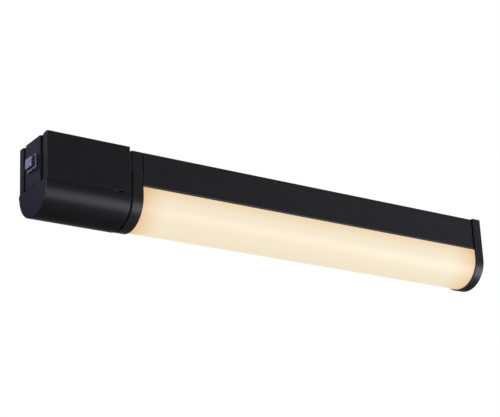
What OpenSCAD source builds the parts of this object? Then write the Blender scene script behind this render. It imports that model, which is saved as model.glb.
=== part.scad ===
// Wall-mounted vanity light bar. A supply box with a rocker switch and a hinged
// socket flap is joined by a short neck to an aluminium bar, whose half-round
// opal diffuser faces away from the wall.
//
// X runs from the box to the free end of the bar and Y from front to rear.
// The wall is the plane Z = 0, and the light hangs below it. The origin is
// midway between the two wall-fixing holes.

/* [Overall] */
// Length over everything, from the box to the free end
total_l = 598; // [450:1:900]

/* [Supply box] */
// Length of the supply box
box_l = 98.5; // [98.5:0.5:130]
// Width of the supply box, front to rear
box_w = 64; // [62:0.5:76]
// Height of the box from the wall to the seam of the flap
seam_h = 52; // [50:0.5:70]
// Thickness of the box walls
box_wall = 2; // [1.6:0.1:2.4]
// Thickness of the end wall that carries the switch
end_wall = 3.5; // [3:0.1:4.5]
// Thickness of the deck that closes the box above the flap
deck_t = 2.5; // [2:0.1:4]
// Rounding of the outer edges of the box
box_edge_r = 0.8; // [0.4:0.1:1.5]
// Thickness of the back plate against the wall
plate_t = 3; // [2.5:0.1:4]
// Clearance between the back plate and the box walls
plate_gap = 0.3; // [0.2:0.05:0.6]

/* [Fixings] */
// Radius of the wall-fixing holes
fixing_r = 2.25; // [2:0.05:2.75]
// Radius of the posts on the back plate
post_r = 3.5; // [3:0.1:4]
// Distance of the posts from the ends of the box
post_in = 10; // [9:0.5:12]
// Distance of the posts from the centre line
post_y = 22; // [21:0.5:22.5]
// Radius of the shank of the housing screws
housing_screw_r = 1.7; // [1.4:0.05:2]
// Radius of the shank of the small screws
small_screw_r = 1.4; // [1.2:0.05:1.5]
// Radial clearance of a screw in its hole
screw_gap = 0.05; // [0.02:0.01:0.1]

/* [Flap] */
// Gap of the seam between box and flap
seam_gap = 0.3; // [0.2:0.05:0.5]
// Thickness of the curved wall of the flap
flap_wall = 2; // [1.6:0.1:2.4]
// Thickness of the end cheeks of the flap
cheek_t = 2.5; // [2:0.1:3.5]
// How far the left cheek stands out from the end of the box
cheek_proud = 0.8; // [0.4:0.1:1.2]
// Height of the straight part between seam and arc centre
arc_drop = 2; // [1:0.1:3]
// Radius of the hinge knuckles
knuckle_r = 2.3; // [2.1:0.1:2.5]
// Radius of the hinge pin
hinge_pin_r = 1; // [0.8:0.05:1.2]
// Radial running clearance of the hinge pin
pin_gap = 0.05; // [0.02:0.01:0.1]
// Gap between hinge knuckles and round the barrel
knuckle_gap = 0.3; // [0.2:0.05:0.5]
// Length of the outer flap knuckles
outer_knuckle_l = 16; // [12:1:20]
// Length of the middle flap knuckle
middle_knuckle_l = 18; // [12:1:24]

/* [Flap catch] */
// Width of the catch button along the seam
catch_w = 10; // [8:0.5:12]
// Height of the catch button
catch_h = 3.4; // [3:0.1:4.5]
// Distance of the catch from the neck end of the box
catch_in = 14.5; // [13.5:0.5:16]
// Gap round the catch button
catch_gap = 0.3; // [0.2:0.05:0.5]
// Travel of the catch button
catch_travel = 1.5; // [1:0.1:1.5]
// How far the button sits back from the skin of the flap
catch_sunk = 0.6; // [0.3:0.1:1]

/* [Switch] */
// Width of the panel that carries the switch
panel_w = 33.6; // [28:0.2:35]
// How far the panel stands out from the end of the box
panel_proud = 0.6; // [0.3:0.1:1]
// Width of the grooves beside the panel
groove_w = 6.1; // [4:0.1:8]
// Depth of the grooves beside the panel
groove_d = 1.5; // [1:0.1:1.8]
// Height of the strip left under the grooves
groove_foot = 0.4; // [0.4:0.1:3]
// Depth of the switch centre below the wall
switch_h = 26.4; // [24:0.2:28]
// Width of the switch flange and of the foot of its boot
boot_w = 19.5; // [18.5:0.1:22]
// Height of the switch flange and of the foot of its boot
boot_h = 15.4; // [14.6:0.1:17]
// Width of the outer face of the boot
boot_face_w = 15.8; // [15.4:0.1:18]
// Height of the outer face of the boot
boot_face_h = 11.6; // [11.2:0.1:13.5]
// How far the boot stands out from the switch flange
boot_out = 4.4; // [4:0.1:6]
// Wall of the boot
boot_wall = 0.8; // [0.5:0.05:0.9]
// Thickness of the switch flange
switch_flange_t = 0.8; // [0.6:0.1:1]
// Width of the switch barrel behind the panel
barrel_w = 18.4; // [17.8:0.1:18.4]
// Height of the switch barrel behind the panel
barrel_h = 12.4; // [12.2:0.1:13]
// Depth of the switch barrel behind the panel face
barrel_d = 18; // [14:0.5:18]
// Height of the rocker
rocker_h = 9; // [8:0.1:9]
// Half width of the rocker
rocker_half = 6.6; // [6:0.1:6.6]
// Tilt of the rocker to each side, in degrees
rocker_tilt = 8; // [5:0.5:9]
// Radius of the rocker pivot
pivot_r = 0.8; // [0.6:0.05:1]

/* [Socket] */
// Distance of the socket centre from the switch end of the box
socket_in = 55; // [54:0.5:56]
// Radius of the socket barrel
socket_r = 18; // [16:0.5:18]
// Side of the square socket flange
socket_flange = 46; // [44:0.5:46]
// Thickness of the socket flange
socket_flange_t = 2; // [1.5:0.1:3]
// Height of the socket barrel above its flange
socket_barrel_h = 25; // [22:0.5:26]
// Thickness of the socket gasket
socket_gasket_t = 1; // [0.6:0.1:1.5]
// Spacing of the two pin holes
pin_pitch = 19; // [18:0.5:20]
// Radius of the pin holes
pin_hole_r = 2.5; // [2.2:0.1:2.7]
// Spacing of the socket screws
socket_screw_pitch = 37; // [36.5:0.5:38]

/* [Cable entry and driver] */
// Radius of the cable hole in the grommet
cable_r = 3.5; // [2.5:0.25:4]
// Radius of the neck of the grommet
grommet_r = 5.5; // [5:0.25:6.5]
// Length of the driver case
driver_l = 46; // [40:1:46]
// Width of the driver case
driver_w = 24; // [20:0.5:24]
// Height of the driver case
driver_h = 18; // [14:0.5:18]
// Length of the terminal block
terminal_l = 30; // [28:1:30]
// Width of the terminal block
terminal_w = 14; // [12:0.5:14]
// Height of the terminal block
terminal_h = 13; // [11:0.5:14]
// Radius of the insulated wires
wire_r = 1; // [0.7:0.1:1.2]

/* [Bar] */
// Half width of the bar, front to rear
bar_half = 31; // [29:0.25:31.5]
// Distance of the top of the bar from the wall
bar_top = 3.1; // [3:0.1:6]
// Height of the aluminium profile
profile_h = 39.2; // [38:0.1:42]
// Depth of the centre of the diffuser arc below the wall
arc_h = 53.1; // [50:0.1:54]
// Wall of the aluminium profile
profile_wall = 1.6; // [1.4:0.1:2]
// Rounding of the upper edges of the bar
bar_edge_r = 0.8; // [0.4:0.1:1.5]
// Depth of the fine grooves along the profile
line_d = 0.5; // [0.2:0.05:0.6]
// Height of the fine grooves along the profile
line_h = 0.9; // [0.3:0.05:1.2]
// Distance of the upper groove from the top of the profile
line_top = 2.8; // [1.2:0.1:3.2]
// Height of the lip under the lower groove
lip_h = 2.4; // [2:0.1:3.5]
// Wall of the diffuser
diffuser_wall = 1.8; // [1.5:0.1:2.2]
// How far the diffuser sits back from the profile
diffuser_in = 0.4; // [0.2:0.1:0.6]
// Clearance of the diffuser in its channels
diffuser_gap = 0.1; // [0.05:0.05:0.2]
// Depth of the underside of the light-board web below the wall
web_h = 19.6; // [19.5:0.1:22]
// Thickness of the light-board web
web_t = 1.6; // [1.2:0.1:2]

/* [Neck and end caps] */
// Length of the recessed neck between box and bar
neck_l = 2.8; // [2:0.1:5]
// Half width of the neck
neck_half = 24; // [22:0.5:26]
// Length of the bracket and end cap beside the neck
left_cap_l = 12.7; // [12:0.1:16]
// Depth of the underside of the bracket below the wall
bracket_h = 27.5; // [27.5:0.1:30]
// Gap between the bracket and the left end cap
bracket_gap = 1; // [0.5:0.1:1.5]
// Length of the end cap at the free end
right_cap_l = 12; // [10:0.5:16]
// How far the end caps stand out from the bar
cap_proud = 1.2; // [0.8:0.1:1.4]
// Wall of the end caps across the bar
cap_wall = 2; // [1.6:0.1:3]
// Thickness of the end gaskets
gasket_t = 0.6; // [0.5:0.05:1]
// How far the gaskets sit back from the skin of the bar
gasket_in = 0.5; // [0.3:0.05:0.7]
// Distance of the end screws from the centre line
end_screw_y = 22; // [20:0.5:23]
// Depth of the end screws below the wall
end_screw_h = 13.5; // [13:0.1:14]

/* [Lights] */
// Width of the light board
board_w = 20; // [14:0.5:24]
// Thickness of the light board
board_t = 1.6; // [1:0.1:2]
// Spacing of the light emitters
led_pitch = 12; // [8:0.5:20]
// Thickness of the reflector sheet
reflector_t = 0.6; // [0.5:0.1:1]
// Gap between the ends of the light board and the end gaskets
board_gap = 3; // [1:0.5:6]

/* [Hidden] */
$fn = 64;
eps = 0.01;
over = 1;

// Ends of the pieces along X
box_x0 = -total_l / 2;
box_x1 = box_x0 + box_l;
bracket_x0 = box_x1 + neck_l;
bracket_x1 = bracket_x0 + left_cap_l;
bar_x0 = bracket_x1 + gasket_t;
cap_x1 = total_l / 2;
cap_x0 = cap_x1 - right_cap_l;
bar_x1 = cap_x0 - gasket_t;

// Wall fixings: one in the middle of the box, one as far from the free end
fixing_pitch = total_l - box_l;

// Box
box_half = box_w / 2;
room_half = box_half - box_wall;
deck_top = -(seam_h - deck_t);
deck_face = -seam_h;
post_shift = 1.5;
post_x = [box_x0 + post_in, box_x1 - post_in + post_shift];
post_hole_d = 12;
screw_head_h = 1.8;
screw_head_ratio = 1.75;
screw_head_gap = 0.3;
housing_tip_gap = 1;
housing_screw_l = deck_t + post_hole_d - housing_tip_gap;

// Flap and hinge
flap_top = -(seam_h + seam_gap);
flap_x0 = box_x0 - cheek_proud;
flap_room_x0 = flap_x0 + cheek_t;
flap_room_x1 = box_x1 - cheek_t;
flap_arc_z = -(seam_h + arc_drop);
hinge_y = box_half - knuckle_r;
hinge_z = flap_top - knuckle_r;
hinge_mid = box_x0 + box_l / 2;
flap_knuckles = [
    [flap_x0, box_x0 + outer_knuckle_l],
    [hinge_mid - middle_knuckle_l / 2, hinge_mid + middle_knuckle_l / 2],
    [box_x1 - outer_knuckle_l, box_x1]
];
box_knuckles = [
    [flap_knuckles[0][1] + knuckle_gap, flap_knuckles[1][0] - knuckle_gap],
    [flap_knuckles[1][1] + knuckle_gap, flap_knuckles[2][0] - knuckle_gap]
];
pin_x0 = flap_room_x0;
pin_end_gap = 0.2;
knuckle_skin = 0.2;

// Catch
catch_x = box_x1 - catch_in;
catch_drop = 1.2;
catch_depth = 3;
catch_leg_t = 1.2;
catch_leg_step = 0.7;
tongue_side = 1;
tongue_l = catch_w - 2 * tongue_side;
tongue_pocket_d = 2;
tongue_pocket_gap = 0.05;
catch_leg_rise = 0.5;
catch_leg_gap = 0.4;
catch_guide_t = 0.8;
catch_guide_over = 0.5;
catch_z1 = flap_top - catch_drop;
catch_z0 = catch_z1 - catch_h;
catch_face = -(box_half - catch_sunk);
catch_back = -(room_half - catch_depth);
catch_leg_y = catch_back - catch_leg_step;
catch_leg = [catch_leg_y - catch_leg_t, catch_leg_y];
catch_leg_top = deck_top + catch_leg_rise;
catch_slot_back = catch_leg_y + catch_travel + catch_leg_gap;

// Switch
panel_x0 = box_x0 - panel_proud;
panel_x1 = box_x0 + groove_d;
panel_z = [-(seam_h - groove_foot), -plate_gap];
pocket_half = panel_w / 2 + groove_w;
switch_z = -switch_h;
cut_gap = 0.1;
rocker_gap = 0.4;
well_gap = 0.6;
well_half = rocker_half + well_gap;
well_d = 7;
pivot_in = 2;
pivot_x = panel_x0 + pivot_in;
pivot_l = 1.1;
pivot_end_gap = 0.1;
blade = [7, 0.8, 4.8];
blade_y = [-6, 0, 6];

// Socket
socket_x = box_x0 + socket_in;
socket_face = deck_face - socket_gasket_t - socket_flange_t;
socket_seat = deck_face - socket_gasket_t;
socket_top = socket_seat + socket_barrel_h;
socket_gap = 0.2;
pin_hole_d = 4;
contact_r = 3.2;
contact_l = 15;
contact_wall = 1.1;
contact_gap = 0.1;
contact_z0 = socket_face + pin_hole_d + contact_gap;
tag = [1.2, 4];
tag_out = 4;
socket_boss_r = 3;
socket_boss_h = 7;
socket_boss_skin = 1;
socket_corner_r = 4;
socket_tip_gap = 1;
contact_cap = 1;

// Cable entry, driver and terminal block, all carried by the back plate
driver_lug = 5;
driver_lug_t = 2;
driver_lug_half = 4;
driver_corner_r = 1.5;
driver_post_gap = 3.5;
driver_wall_gap = 1;
driver_skin = 0.5;
driver_tip_gap = 0.3;
driver_x1 = post_x[1] - post_r - driver_post_gap - driver_lug;
driver_x0 = driver_x1 - driver_l;
driver_y0 = -(room_half - driver_wall_gap);
driver_y = [driver_y0, driver_y0 + driver_w];
terminal_post_gap = 6.5;
terminal_wall_gap = 10;
terminal_x1 = post_x[1] - post_r - terminal_post_gap;
terminal_x0 = terminal_x1 - terminal_l;
terminal_y1 = room_half - terminal_wall_gap;
terminal_y = [terminal_y1 - terminal_w, terminal_y1];
terminal_poles = 5;
terminal_screw_r = 1.6;
terminal_screw_h = 1.5;
slit_half = 0.4;
slit_d = 2;
grommet_step = 17;
grommet_wall_gap = 13;
grommet_x = terminal_x0 - grommet_step;
grommet_y = room_half - grommet_wall_gap;
grommet_rim = 2;
grommet_rim_t = 1.2;

// Wires: where they leave the pieces, and how far they run straight
lead_z = -(plate_t + terminal_h / 2);
lead_step = 5;
switch_lead_y = terminal_y[0] + 4;
switch_lead = [9, 11];
driver_lead_x = terminal_x0 + 14;
driver_lead = 4;
socket_lead_x = [terminal_x0 + 4, terminal_x0 + 24];
socket_lead = [12, 16];
board_lead_in = 6;
board_lead = 5;
wall_lead = 8;
board_lead_y = 1.8;

// Bar section
profile_z0 = -(bar_top + profile_h);
channel_w = diffuser_wall + 2 * diffuser_gap;
diffuser_foot = 1.5;
channel_rib = 1.2;
channel_rib_drop = 3;
channel_d = 5;
channel_z1 = profile_z0 + channel_d;
slot_half = 9;
slot_room = 13;
slot_skin = 1.5;
slot_d = 3.5;
port_r = 2.8;
port_rib = 1.2;
port_hole_d = 14;
port_tip_gap = 2;
web_z0 = -web_h;
web_z1 = web_z0 + web_t;

// Neck
wire_hole_r = 4;
wire_hole_z = -14;
neck_z = [-46, -6];
neck_screw_y = 13;
neck_screw_z = -21;
neck_screw_d = 8;
neck_tip_gap = 0.5;
head_sink = 2.2;
tongue_t = 2;
tongue_in = 1.4;
tongue_drop = 2;
tongue_gap = 0.1;
tongue_half = bar_half - profile_wall - tongue_in;
tongue_z1 = -(bar_top + tongue_drop);
cap_top_z = -(bracket_h + bracket_gap);
cap_skin = 3.2;
cap_boss_r = 4;
gasket_over = 0.4;

// Lights
board_x0 = bar_x0 + board_gap;
board_x1 = bar_x1 - board_gap;
reflector_half = 25;
reflector_leg = 15;
board_z1 = web_z0 - reflector_t;
board_z0 = board_z1 - board_t;
led_size = [3.5, 2.8, 0.8];
led_in = 6;
led_room = board_x1 - board_x0 - 2 * led_in;
led_count = floor(led_room / led_pitch) + 1;
led_start = (board_x0 + board_x1) / 2 - (led_count - 1) * led_pitch / 2;
board_screw_count = 5;
board_screw_y = 6.5;
board_screw_in = 10;
board_screw_x = [for (i = [0 : board_screw_count - 1]) board_x0 + board_screw_in
    + i * (board_x1 - board_x0 - 2 * board_screw_in) / (board_screw_count - 1)];
board_wire_in = 5;
board_wire_x = board_x0 + board_wire_in;

// Wall clip under the far fixing hole
clip_x = fixing_pitch / 2;
clip_l = 36;
clip_gap = 0.2;
clip_foot = 14;
clip_foot_t = 2;
clip_sink_r = 4.8;

black = "#242428";
panel_black = "#30303a";
dark_grey = "#3c3c40";
warm_white = "#fae8d2";

// ---- Shared shapes ----

// A block given by its ends along X, Y and Z
module block(x, y, z) {
    translate([x[0], y[0], z[0]])
        cube([x[1] - x[0], y[1] - y[0], z[1] - z[0]]);
}

// Extrudes an outline drawn in Y and Z from x0 to x1
module along_x(x0, x1) {
    translate([x0, 0, 0])
        rotate([90, 0, 90])
            linear_extrude(x1 - x0)
                union() {
                    children();
                }
}

// A round bar along X
module rod_x(x0, x1, y, z, r) {
    translate([x0, y, z])
        rotate([0, 90, 0])
            cylinder(h = x1 - x0, r = r);
}

// A round bar along Z
module rod_z(x, y, z0, z1, r) {
    translate([x, y, z0])
        cylinder(h = z1 - z0, r = r);
}

// Rectangle centred on Y with rounded upper corners, from z0 up to z1
module arch_top(half, z0, z1, r) {
    translate([-half, z0])
        square([2 * half, z1 - r - z0]);
    translate([-half + r, z0])
        square([2 * (half - r), z1 - z0]);
    for (side = [-1, 1])
        translate([side * (half - r), z1 - r])
            circle(r);
}

// Rectangle with four rounded corners, centred on the origin
module soft_rect(l, w, r) {
    square([l - 2 * r, w], center = true);
    square([l, w - 2 * r], center = true);
    for (sx = [-1, 1], sy = [-1, 1])
        translate([sx * (l / 2 - r), sy * (w / 2 - r)])
            circle(r);
}

// Outline of the bar: flat top, straight sides and a half-round bottom
module bar_outline(grow) {
    half = bar_half + grow;
    arch_top(half, -arc_h, -bar_top + grow, bar_edge_r);
    translate([0, -arc_h])
        circle(half);
}

// A U open at the top: straight sides from z_top down to arc_z, then a half circle
module u_outline(half, z_top, arc_z) {
    translate([-half, arc_z])
        square([2 * half, z_top - arc_z]);
    translate([0, arc_z])
        intersection() {
            circle(half);
            translate([-2 * half, -2 * half])
                square([4 * half, 2 * half]);
        }
}

// A screw along Z with its head below the seat
module screw_up(x, y, seat_z, shank_r, shank_l) {
    rod_z(x, y, seat_z - screw_head_h, seat_z, screw_head_ratio * shank_r);
    rod_z(x, y, seat_z - eps, seat_z + shank_l, shank_r);
}

// A screw along X, its head on the side that dir points away from
module screw_x(seat_x, y, z, dir, shank_l) {
    head_x = seat_x - dir * screw_head_h;
    tip_x = seat_x + dir * shank_l;
    rod_x(min(head_x, seat_x), max(head_x, seat_x), y, z, screw_head_ratio * small_screw_r);
    rod_x(min(seat_x, tip_x), max(seat_x, tip_x), y, z, small_screw_r);
}

// ---- Insulated wires ----

function bezier(p, t) =
    pow(1 - t, 3) * p[0] + 3 * pow(1 - t, 2) * t * p[1]
    + 3 * (1 - t) * pow(t, 2) * p[2] + pow(t, 3) * p[3];
function unit(v) = v / norm(v);
function slope(p, t) = unit(
    pow(1 - t, 2) * (p[1] - p[0]) + 2 * (1 - t) * t * (p[2] - p[1])
    + pow(t, 2) * (p[3] - p[2]));
function ring(centre, dir, ref, r, sides) =
    let (a = unit(cross(ref, dir)), b = cross(dir, a))
    [for (i = [0 : sides - 1])
        let (turn = 360 * i / sides)
        centre + r * (cos(turn) * a + sin(turn) * b)];

// A wire along a chain of smooth curves, each given by its ends and handles
module wire(curves, ref, rings = 12, sides = 8) {
    stations = [for (c = [0 : len(curves) - 1], k = [(c == 0 ? 0 : 1) : rings - 1])
        let (t = k / (rings - 1))
        [bezier(curves[c], t), slope(curves[c], t)]];
    last = len(stations) - 1;
    points = [for (s = stations) each ring(s[0], s[1], ref, wire_r, sides)];
    start = [for (i = [0 : sides - 1]) i];
    finish = [for (i = [sides - 1 : -1 : 0]) last * sides + i];
    walls = [for (k = [0 : last - 1], i = [0 : sides - 1])
        let (j = (i + 1) % sides)
        [k * sides + i, (k + 1) * sides + i, (k + 1) * sides + j, k * sides + j]];
    polyhedron(points, concat([start], [finish], walls), convexity = 4);
}

// ---- Supply box ----

module hinge_bore(x0, x1) {
    rod_x(x0, x1, hinge_y, hinge_z, hinge_pin_r + pin_gap);
}

module box_housing() {
    color(black)
    difference() {
        union() {
            intersection() {
                along_x(box_x0, box_x1)
                    arch_top(box_half, deck_face, 0, box_edge_r);
                translate([box_x0 + box_l / 2, 0, deck_face])
                    linear_extrude(seam_h)
                        soft_rect(box_l, box_w, box_edge_r);
            }
            for (k = box_knuckles) {
                rod_x(k[0], k[1], hinge_y, hinge_z, knuckle_r);
                block(k, [hinge_y, box_half], [hinge_z, deck_face + eps]);
            }
        }
        difference() {
            block([box_x0 + end_wall, box_x1 - box_wall], [-room_half, room_half],
                [deck_top, over]);
            for (sx = [-1, 1], sy = [-1, 1])
                rod_z(socket_x + sx * socket_screw_pitch / 2, sy * socket_screw_pitch / 2,
                    deck_top - over, deck_top + socket_boss_h, socket_boss_r);
        }
        block([box_x0 - over, panel_x1], [-pocket_half, pocket_half], [panel_z[0], over]);
        block([box_x0 - over, box_x0 + end_wall + over],
            [-barrel_w / 2 - cut_gap, barrel_w / 2 + cut_gap],
            [switch_z - barrel_h / 2 - cut_gap, switch_z + barrel_h / 2 + cut_gap]);
        rod_z(socket_x, 0, deck_face - over, deck_top + over, socket_r + socket_gap);
        for (sx = [-1, 1], sy = [-1, 1])
            rod_z(socket_x + sx * socket_screw_pitch / 2, sy * socket_screw_pitch / 2,
                deck_face - over, deck_top + socket_boss_h - socket_boss_skin, small_screw_r + screw_gap);
        for (x = post_x, sy = [-1, 1])
            rod_z(x, sy * post_y, deck_face - over, deck_top + over,
                housing_screw_r + screw_gap);
        block([catch_x - catch_w / 2 - catch_gap, catch_x + catch_w / 2 + catch_gap],
            [-room_half, catch_slot_back], [deck_face - over, deck_top + over]);
        rod_x(box_x1 - box_wall - over, box_x1 + over, 0, wire_hole_z, wire_hole_r);
        for (sy = [-1, 1])
            rod_x(box_x1 - box_wall - over, box_x1 + over, sy * neck_screw_y,
                neck_screw_z, small_screw_r + screw_gap);
        for (k = box_knuckles)
            hinge_bore(k[0] - over, k[1] + over);
    }
}

module box_back_plate() {
    color("#8c8f94")
    difference() {
        union() {
            block([box_x0 + end_wall + plate_gap, box_x1 - box_wall - plate_gap],
                [-room_half + plate_gap, room_half - plate_gap], [-plate_t, 0]);
            for (x = post_x, sy = [-1, 1])
                rod_z(x, sy * post_y, deck_top, -plate_t + eps, post_r);
        }
        for (x = post_x, sy = [-1, 1])
            rod_z(x, sy * post_y, deck_top - over, deck_top + post_hole_d,
                housing_screw_r + screw_gap);
        rod_z(-fixing_pitch / 2, 0, -plate_t - over, over, fixing_r);
        rod_z(grommet_x, grommet_y, -plate_t - over, over, grommet_r);
        rod_z(grommet_x, grommet_y, -grommet_rim_t, over, grommet_r + grommet_rim);
        for (x = [driver_x0 - driver_lug / 2, driver_x1 + driver_lug / 2])
            rod_z(x, (driver_y[0] + driver_y[1]) / 2, -plate_t - over, -driver_skin,
                small_screw_r + screw_gap);
    }
}

module housing_screws() {
    color("silver")
    for (x = post_x, sy = [-1, 1])
        screw_up(x, sy * post_y, deck_face, housing_screw_r, housing_screw_l);
}

module cable_grommet() {
    color("#1c1c1c")
    difference() {
        union() {
            rod_z(grommet_x, grommet_y, -grommet_rim_t, 0, grommet_r + grommet_rim);
            rod_z(grommet_x, grommet_y, -plate_t, 0, grommet_r);
            rod_z(grommet_x, grommet_y, -plate_t - grommet_rim_t, -plate_t,
                grommet_r + grommet_rim);
        }
        rod_z(grommet_x, grommet_y, -plate_t - grommet_rim_t - over, over, cable_r);
    }
}

module terminal_block() {
    pole = terminal_l / terminal_poles;
    base = -plate_t - terminal_h;
    color("#e6e2d6")
    difference() {
        block([terminal_x0, terminal_x1], terminal_y, [base, -plate_t]);
        for (i = [0 : terminal_poles - 1])
            rod_z(terminal_x0 + (i + 0.5) * pole, (terminal_y[0] + terminal_y[1]) / 2,
                base - over, base + 2 * terminal_screw_h, terminal_screw_r + screw_gap);
        for (i = [1 : terminal_poles - 1])
            block([terminal_x0 + i * pole - slit_half, terminal_x0 + i * pole + slit_half],
                [terminal_y[0] - over, terminal_y[1] + over], [base - over, base + slit_d]);
    }
}

module terminal_screws() {
    pole = terminal_l / terminal_poles;
    base = -plate_t - terminal_h;
    color("goldenrod")
    for (i = [0 : terminal_poles - 1])
        rod_z(terminal_x0 + (i + 0.5) * pole, (terminal_y[0] + terminal_y[1]) / 2,
            base + terminal_screw_h, base + 2 * terminal_screw_h, terminal_screw_r);
}

module led_driver() {
    lug_x = [driver_x0 - driver_lug, driver_x1 + driver_lug];
    mid_y = (driver_y[0] + driver_y[1]) / 2;
    color("#f0f0ec")
    difference() {
        union() {
            translate([(driver_x0 + driver_x1) / 2, mid_y, -plate_t - driver_h])
                linear_extrude(driver_h)
                    soft_rect(driver_l, driver_w, driver_corner_r);
            block(lug_x, [mid_y - driver_lug_half, mid_y + driver_lug_half],
                [-plate_t - driver_lug_t, -plate_t]);
        }
        for (x = [driver_x0 - driver_lug / 2, driver_x1 + driver_lug / 2])
            rod_z(x, mid_y, -plate_t - driver_h - over, over, small_screw_r + screw_gap);
    }
}

module driver_screws() {
    color("silver")
    for (x = [driver_x0 - driver_lug / 2, driver_x1 + driver_lug / 2])
        screw_up(x, (driver_y[0] + driver_y[1]) / 2, -plate_t - driver_lug_t,
            small_screw_r, driver_lug_t + plate_t - driver_skin - driver_tip_gap);
}

// ---- Switch ----

module switch_panel() {
    color(panel_black)
    difference() {
        block([panel_x0, panel_x1], [-panel_w / 2, panel_w / 2], panel_z);
        block([panel_x0 - over, panel_x1 + over],
            [-barrel_w / 2 - cut_gap, barrel_w / 2 + cut_gap],
            [switch_z - barrel_h / 2 - cut_gap, switch_z + barrel_h / 2 + cut_gap]);
    }
}

module switch_body() {
    color(dark_grey)
    difference() {
        union() {
            block([panel_x0 - switch_flange_t, panel_x0], [-boot_w / 2, boot_w / 2],
                [switch_z - boot_h / 2, switch_z + boot_h / 2]);
            block([panel_x0 - eps, panel_x0 + barrel_d], [-barrel_w / 2, barrel_w / 2],
                [switch_z - barrel_h / 2, switch_z + barrel_h / 2]);
        }
        block([panel_x0 - switch_flange_t - over, panel_x0 + well_d],
            [-well_half, well_half],
            [switch_z - (rocker_h / 2 + rocker_gap), switch_z + rocker_h / 2 + rocker_gap]);
        rod_z(pivot_x, 0, switch_z - rocker_h / 2 - pivot_l - pivot_end_gap,
            switch_z + rocker_h / 2 + pivot_l + pivot_end_gap, pivot_r + pin_gap);
    }
}

module switch_terminals() {
    back_x = panel_x0 + barrel_d;
    color("goldenrod")
    for (y = blade_y)
        block([back_x, back_x + blade[0]], [y - blade[1] / 2, y + blade[1] / 2],
            [switch_z - blade[2] / 2, switch_z + blade[2] / 2]);
}

// The rocker rests tipped to its off side and turns about its pivot pins
module switch_rocker() {
    color(dark_grey)
    translate([pivot_x, 0, switch_z])
        rotate([0, 0, -rocker_tilt]) {
            translate([0, 0, -rocker_h / 2])
                linear_extrude(rocker_h)
                    polygon([
                        [2.5, -2], [2.5, 2], [-0.4, rocker_half], [-3, rocker_half],
                        [-2.2, 0], [-3, -rocker_half], [-0.4, -rocker_half]
                    ]);
            translate([0, 0, -rocker_h / 2 - pivot_l])
                cylinder(h = rocker_h + 2 * pivot_l, r = pivot_r);
        }
}

// Tapered shape of the boot, from its foot out to its face
module boot_solid(inset, foot_x, face_x) {
    slab = 0.1;
    hull() {
        translate([foot_x - slab / 2, 0, switch_z])
            cube([slab, boot_w - 2 * inset, boot_h - 2 * inset], center = true);
        translate([face_x + slab / 2, 0, switch_z])
            cube([slab, boot_face_w - 2 * inset, boot_face_h - 2 * inset], center = true);
    }
}

module switch_boot() {
    foot_x = panel_x0 - switch_flange_t;
    color("#9a9cc0", 0.5)
    difference() {
        boot_solid(0, foot_x, foot_x - boot_out);
        boot_solid(boot_wall, foot_x + 0.1, foot_x - boot_out + boot_wall);
    }
}

// ---- Flap ----

module flap_cover() {
    color(black)
    difference() {
        union() {
            difference() {
                along_x(flap_x0, box_x1)
                    u_outline(box_half, flap_top, flap_arc_z);
                along_x(flap_room_x0, flap_room_x1)
                    u_outline(box_half - flap_wall, flap_top + over, flap_arc_z);
                block([flap_x0 - over, box_x1 + over],
                    [hinge_y - knuckle_r - knuckle_gap, box_half + over],
                    [hinge_z - knuckle_r - knuckle_gap, over]);
                block([catch_x - catch_w / 2 - catch_gap, catch_x + catch_w / 2 + catch_gap],
                    [-box_half - over, -room_half + over],
                    [catch_z0 - catch_gap, catch_z1 + catch_gap]);
            }
            for (k = flap_knuckles) {
                rod_x(k[0], k[1], hinge_y, hinge_z, knuckle_r);
                block(k, [hinge_y, box_half - knuckle_skin],
                    [hinge_z - knuckle_r - knuckle_gap - eps, hinge_z]);
            }
            for (x = [flap_x0, box_x1 - cheek_t])
                block([x, x + cheek_t],
                    [hinge_y - knuckle_r - knuckle_gap - eps, hinge_y],
                    [hinge_z - knuckle_r - knuckle_gap - eps, hinge_z]);
            for (side = [-1, 1])
                block([catch_x + side * (catch_w / 2 + catch_gap + catch_guide_t / 2)
                        - catch_guide_t / 2,
                    catch_x + side * (catch_w / 2 + catch_gap + catch_guide_t / 2)
                        + catch_guide_t / 2],
                    [-room_half - catch_guide_over, catch_back],
                    [catch_z0 - catch_guide_over, catch_z1 + catch_guide_over]);
        }
        hinge_bore(pin_x0, box_x1 + over);
    }
}

module flap_hinge_pin() {
    color("silver")
    rod_x(pin_x0 + pin_end_gap, box_x1 - pin_end_gap, hinge_y, hinge_z, hinge_pin_r);
}

// Push button in the seam edge of the flap, with a pocket for its tongue
module flap_catch() {
    color(dark_grey)
    difference() {
        block([catch_x - catch_w / 2, catch_x + catch_w / 2], [catch_face, catch_back],
            [catch_z0, catch_z1]);
        block([catch_x - tongue_l / 2 - tongue_pocket_gap,
            catch_x + tongue_l / 2 + tongue_pocket_gap],
            [catch_leg[0] - tongue_pocket_gap, catch_leg[1] + tongue_pocket_gap],
            [catch_z1 - tongue_pocket_d, catch_z1 + over]);
    }
}

// Steel tongue that stands in the button and passes up through the deck
module catch_tongue() {
    color("silver")
    block([catch_x - tongue_l / 2, catch_x + tongue_l / 2], catch_leg,
        [catch_z1 - tongue_pocket_d, catch_leg_top]);
}

// ---- Socket ----

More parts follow.
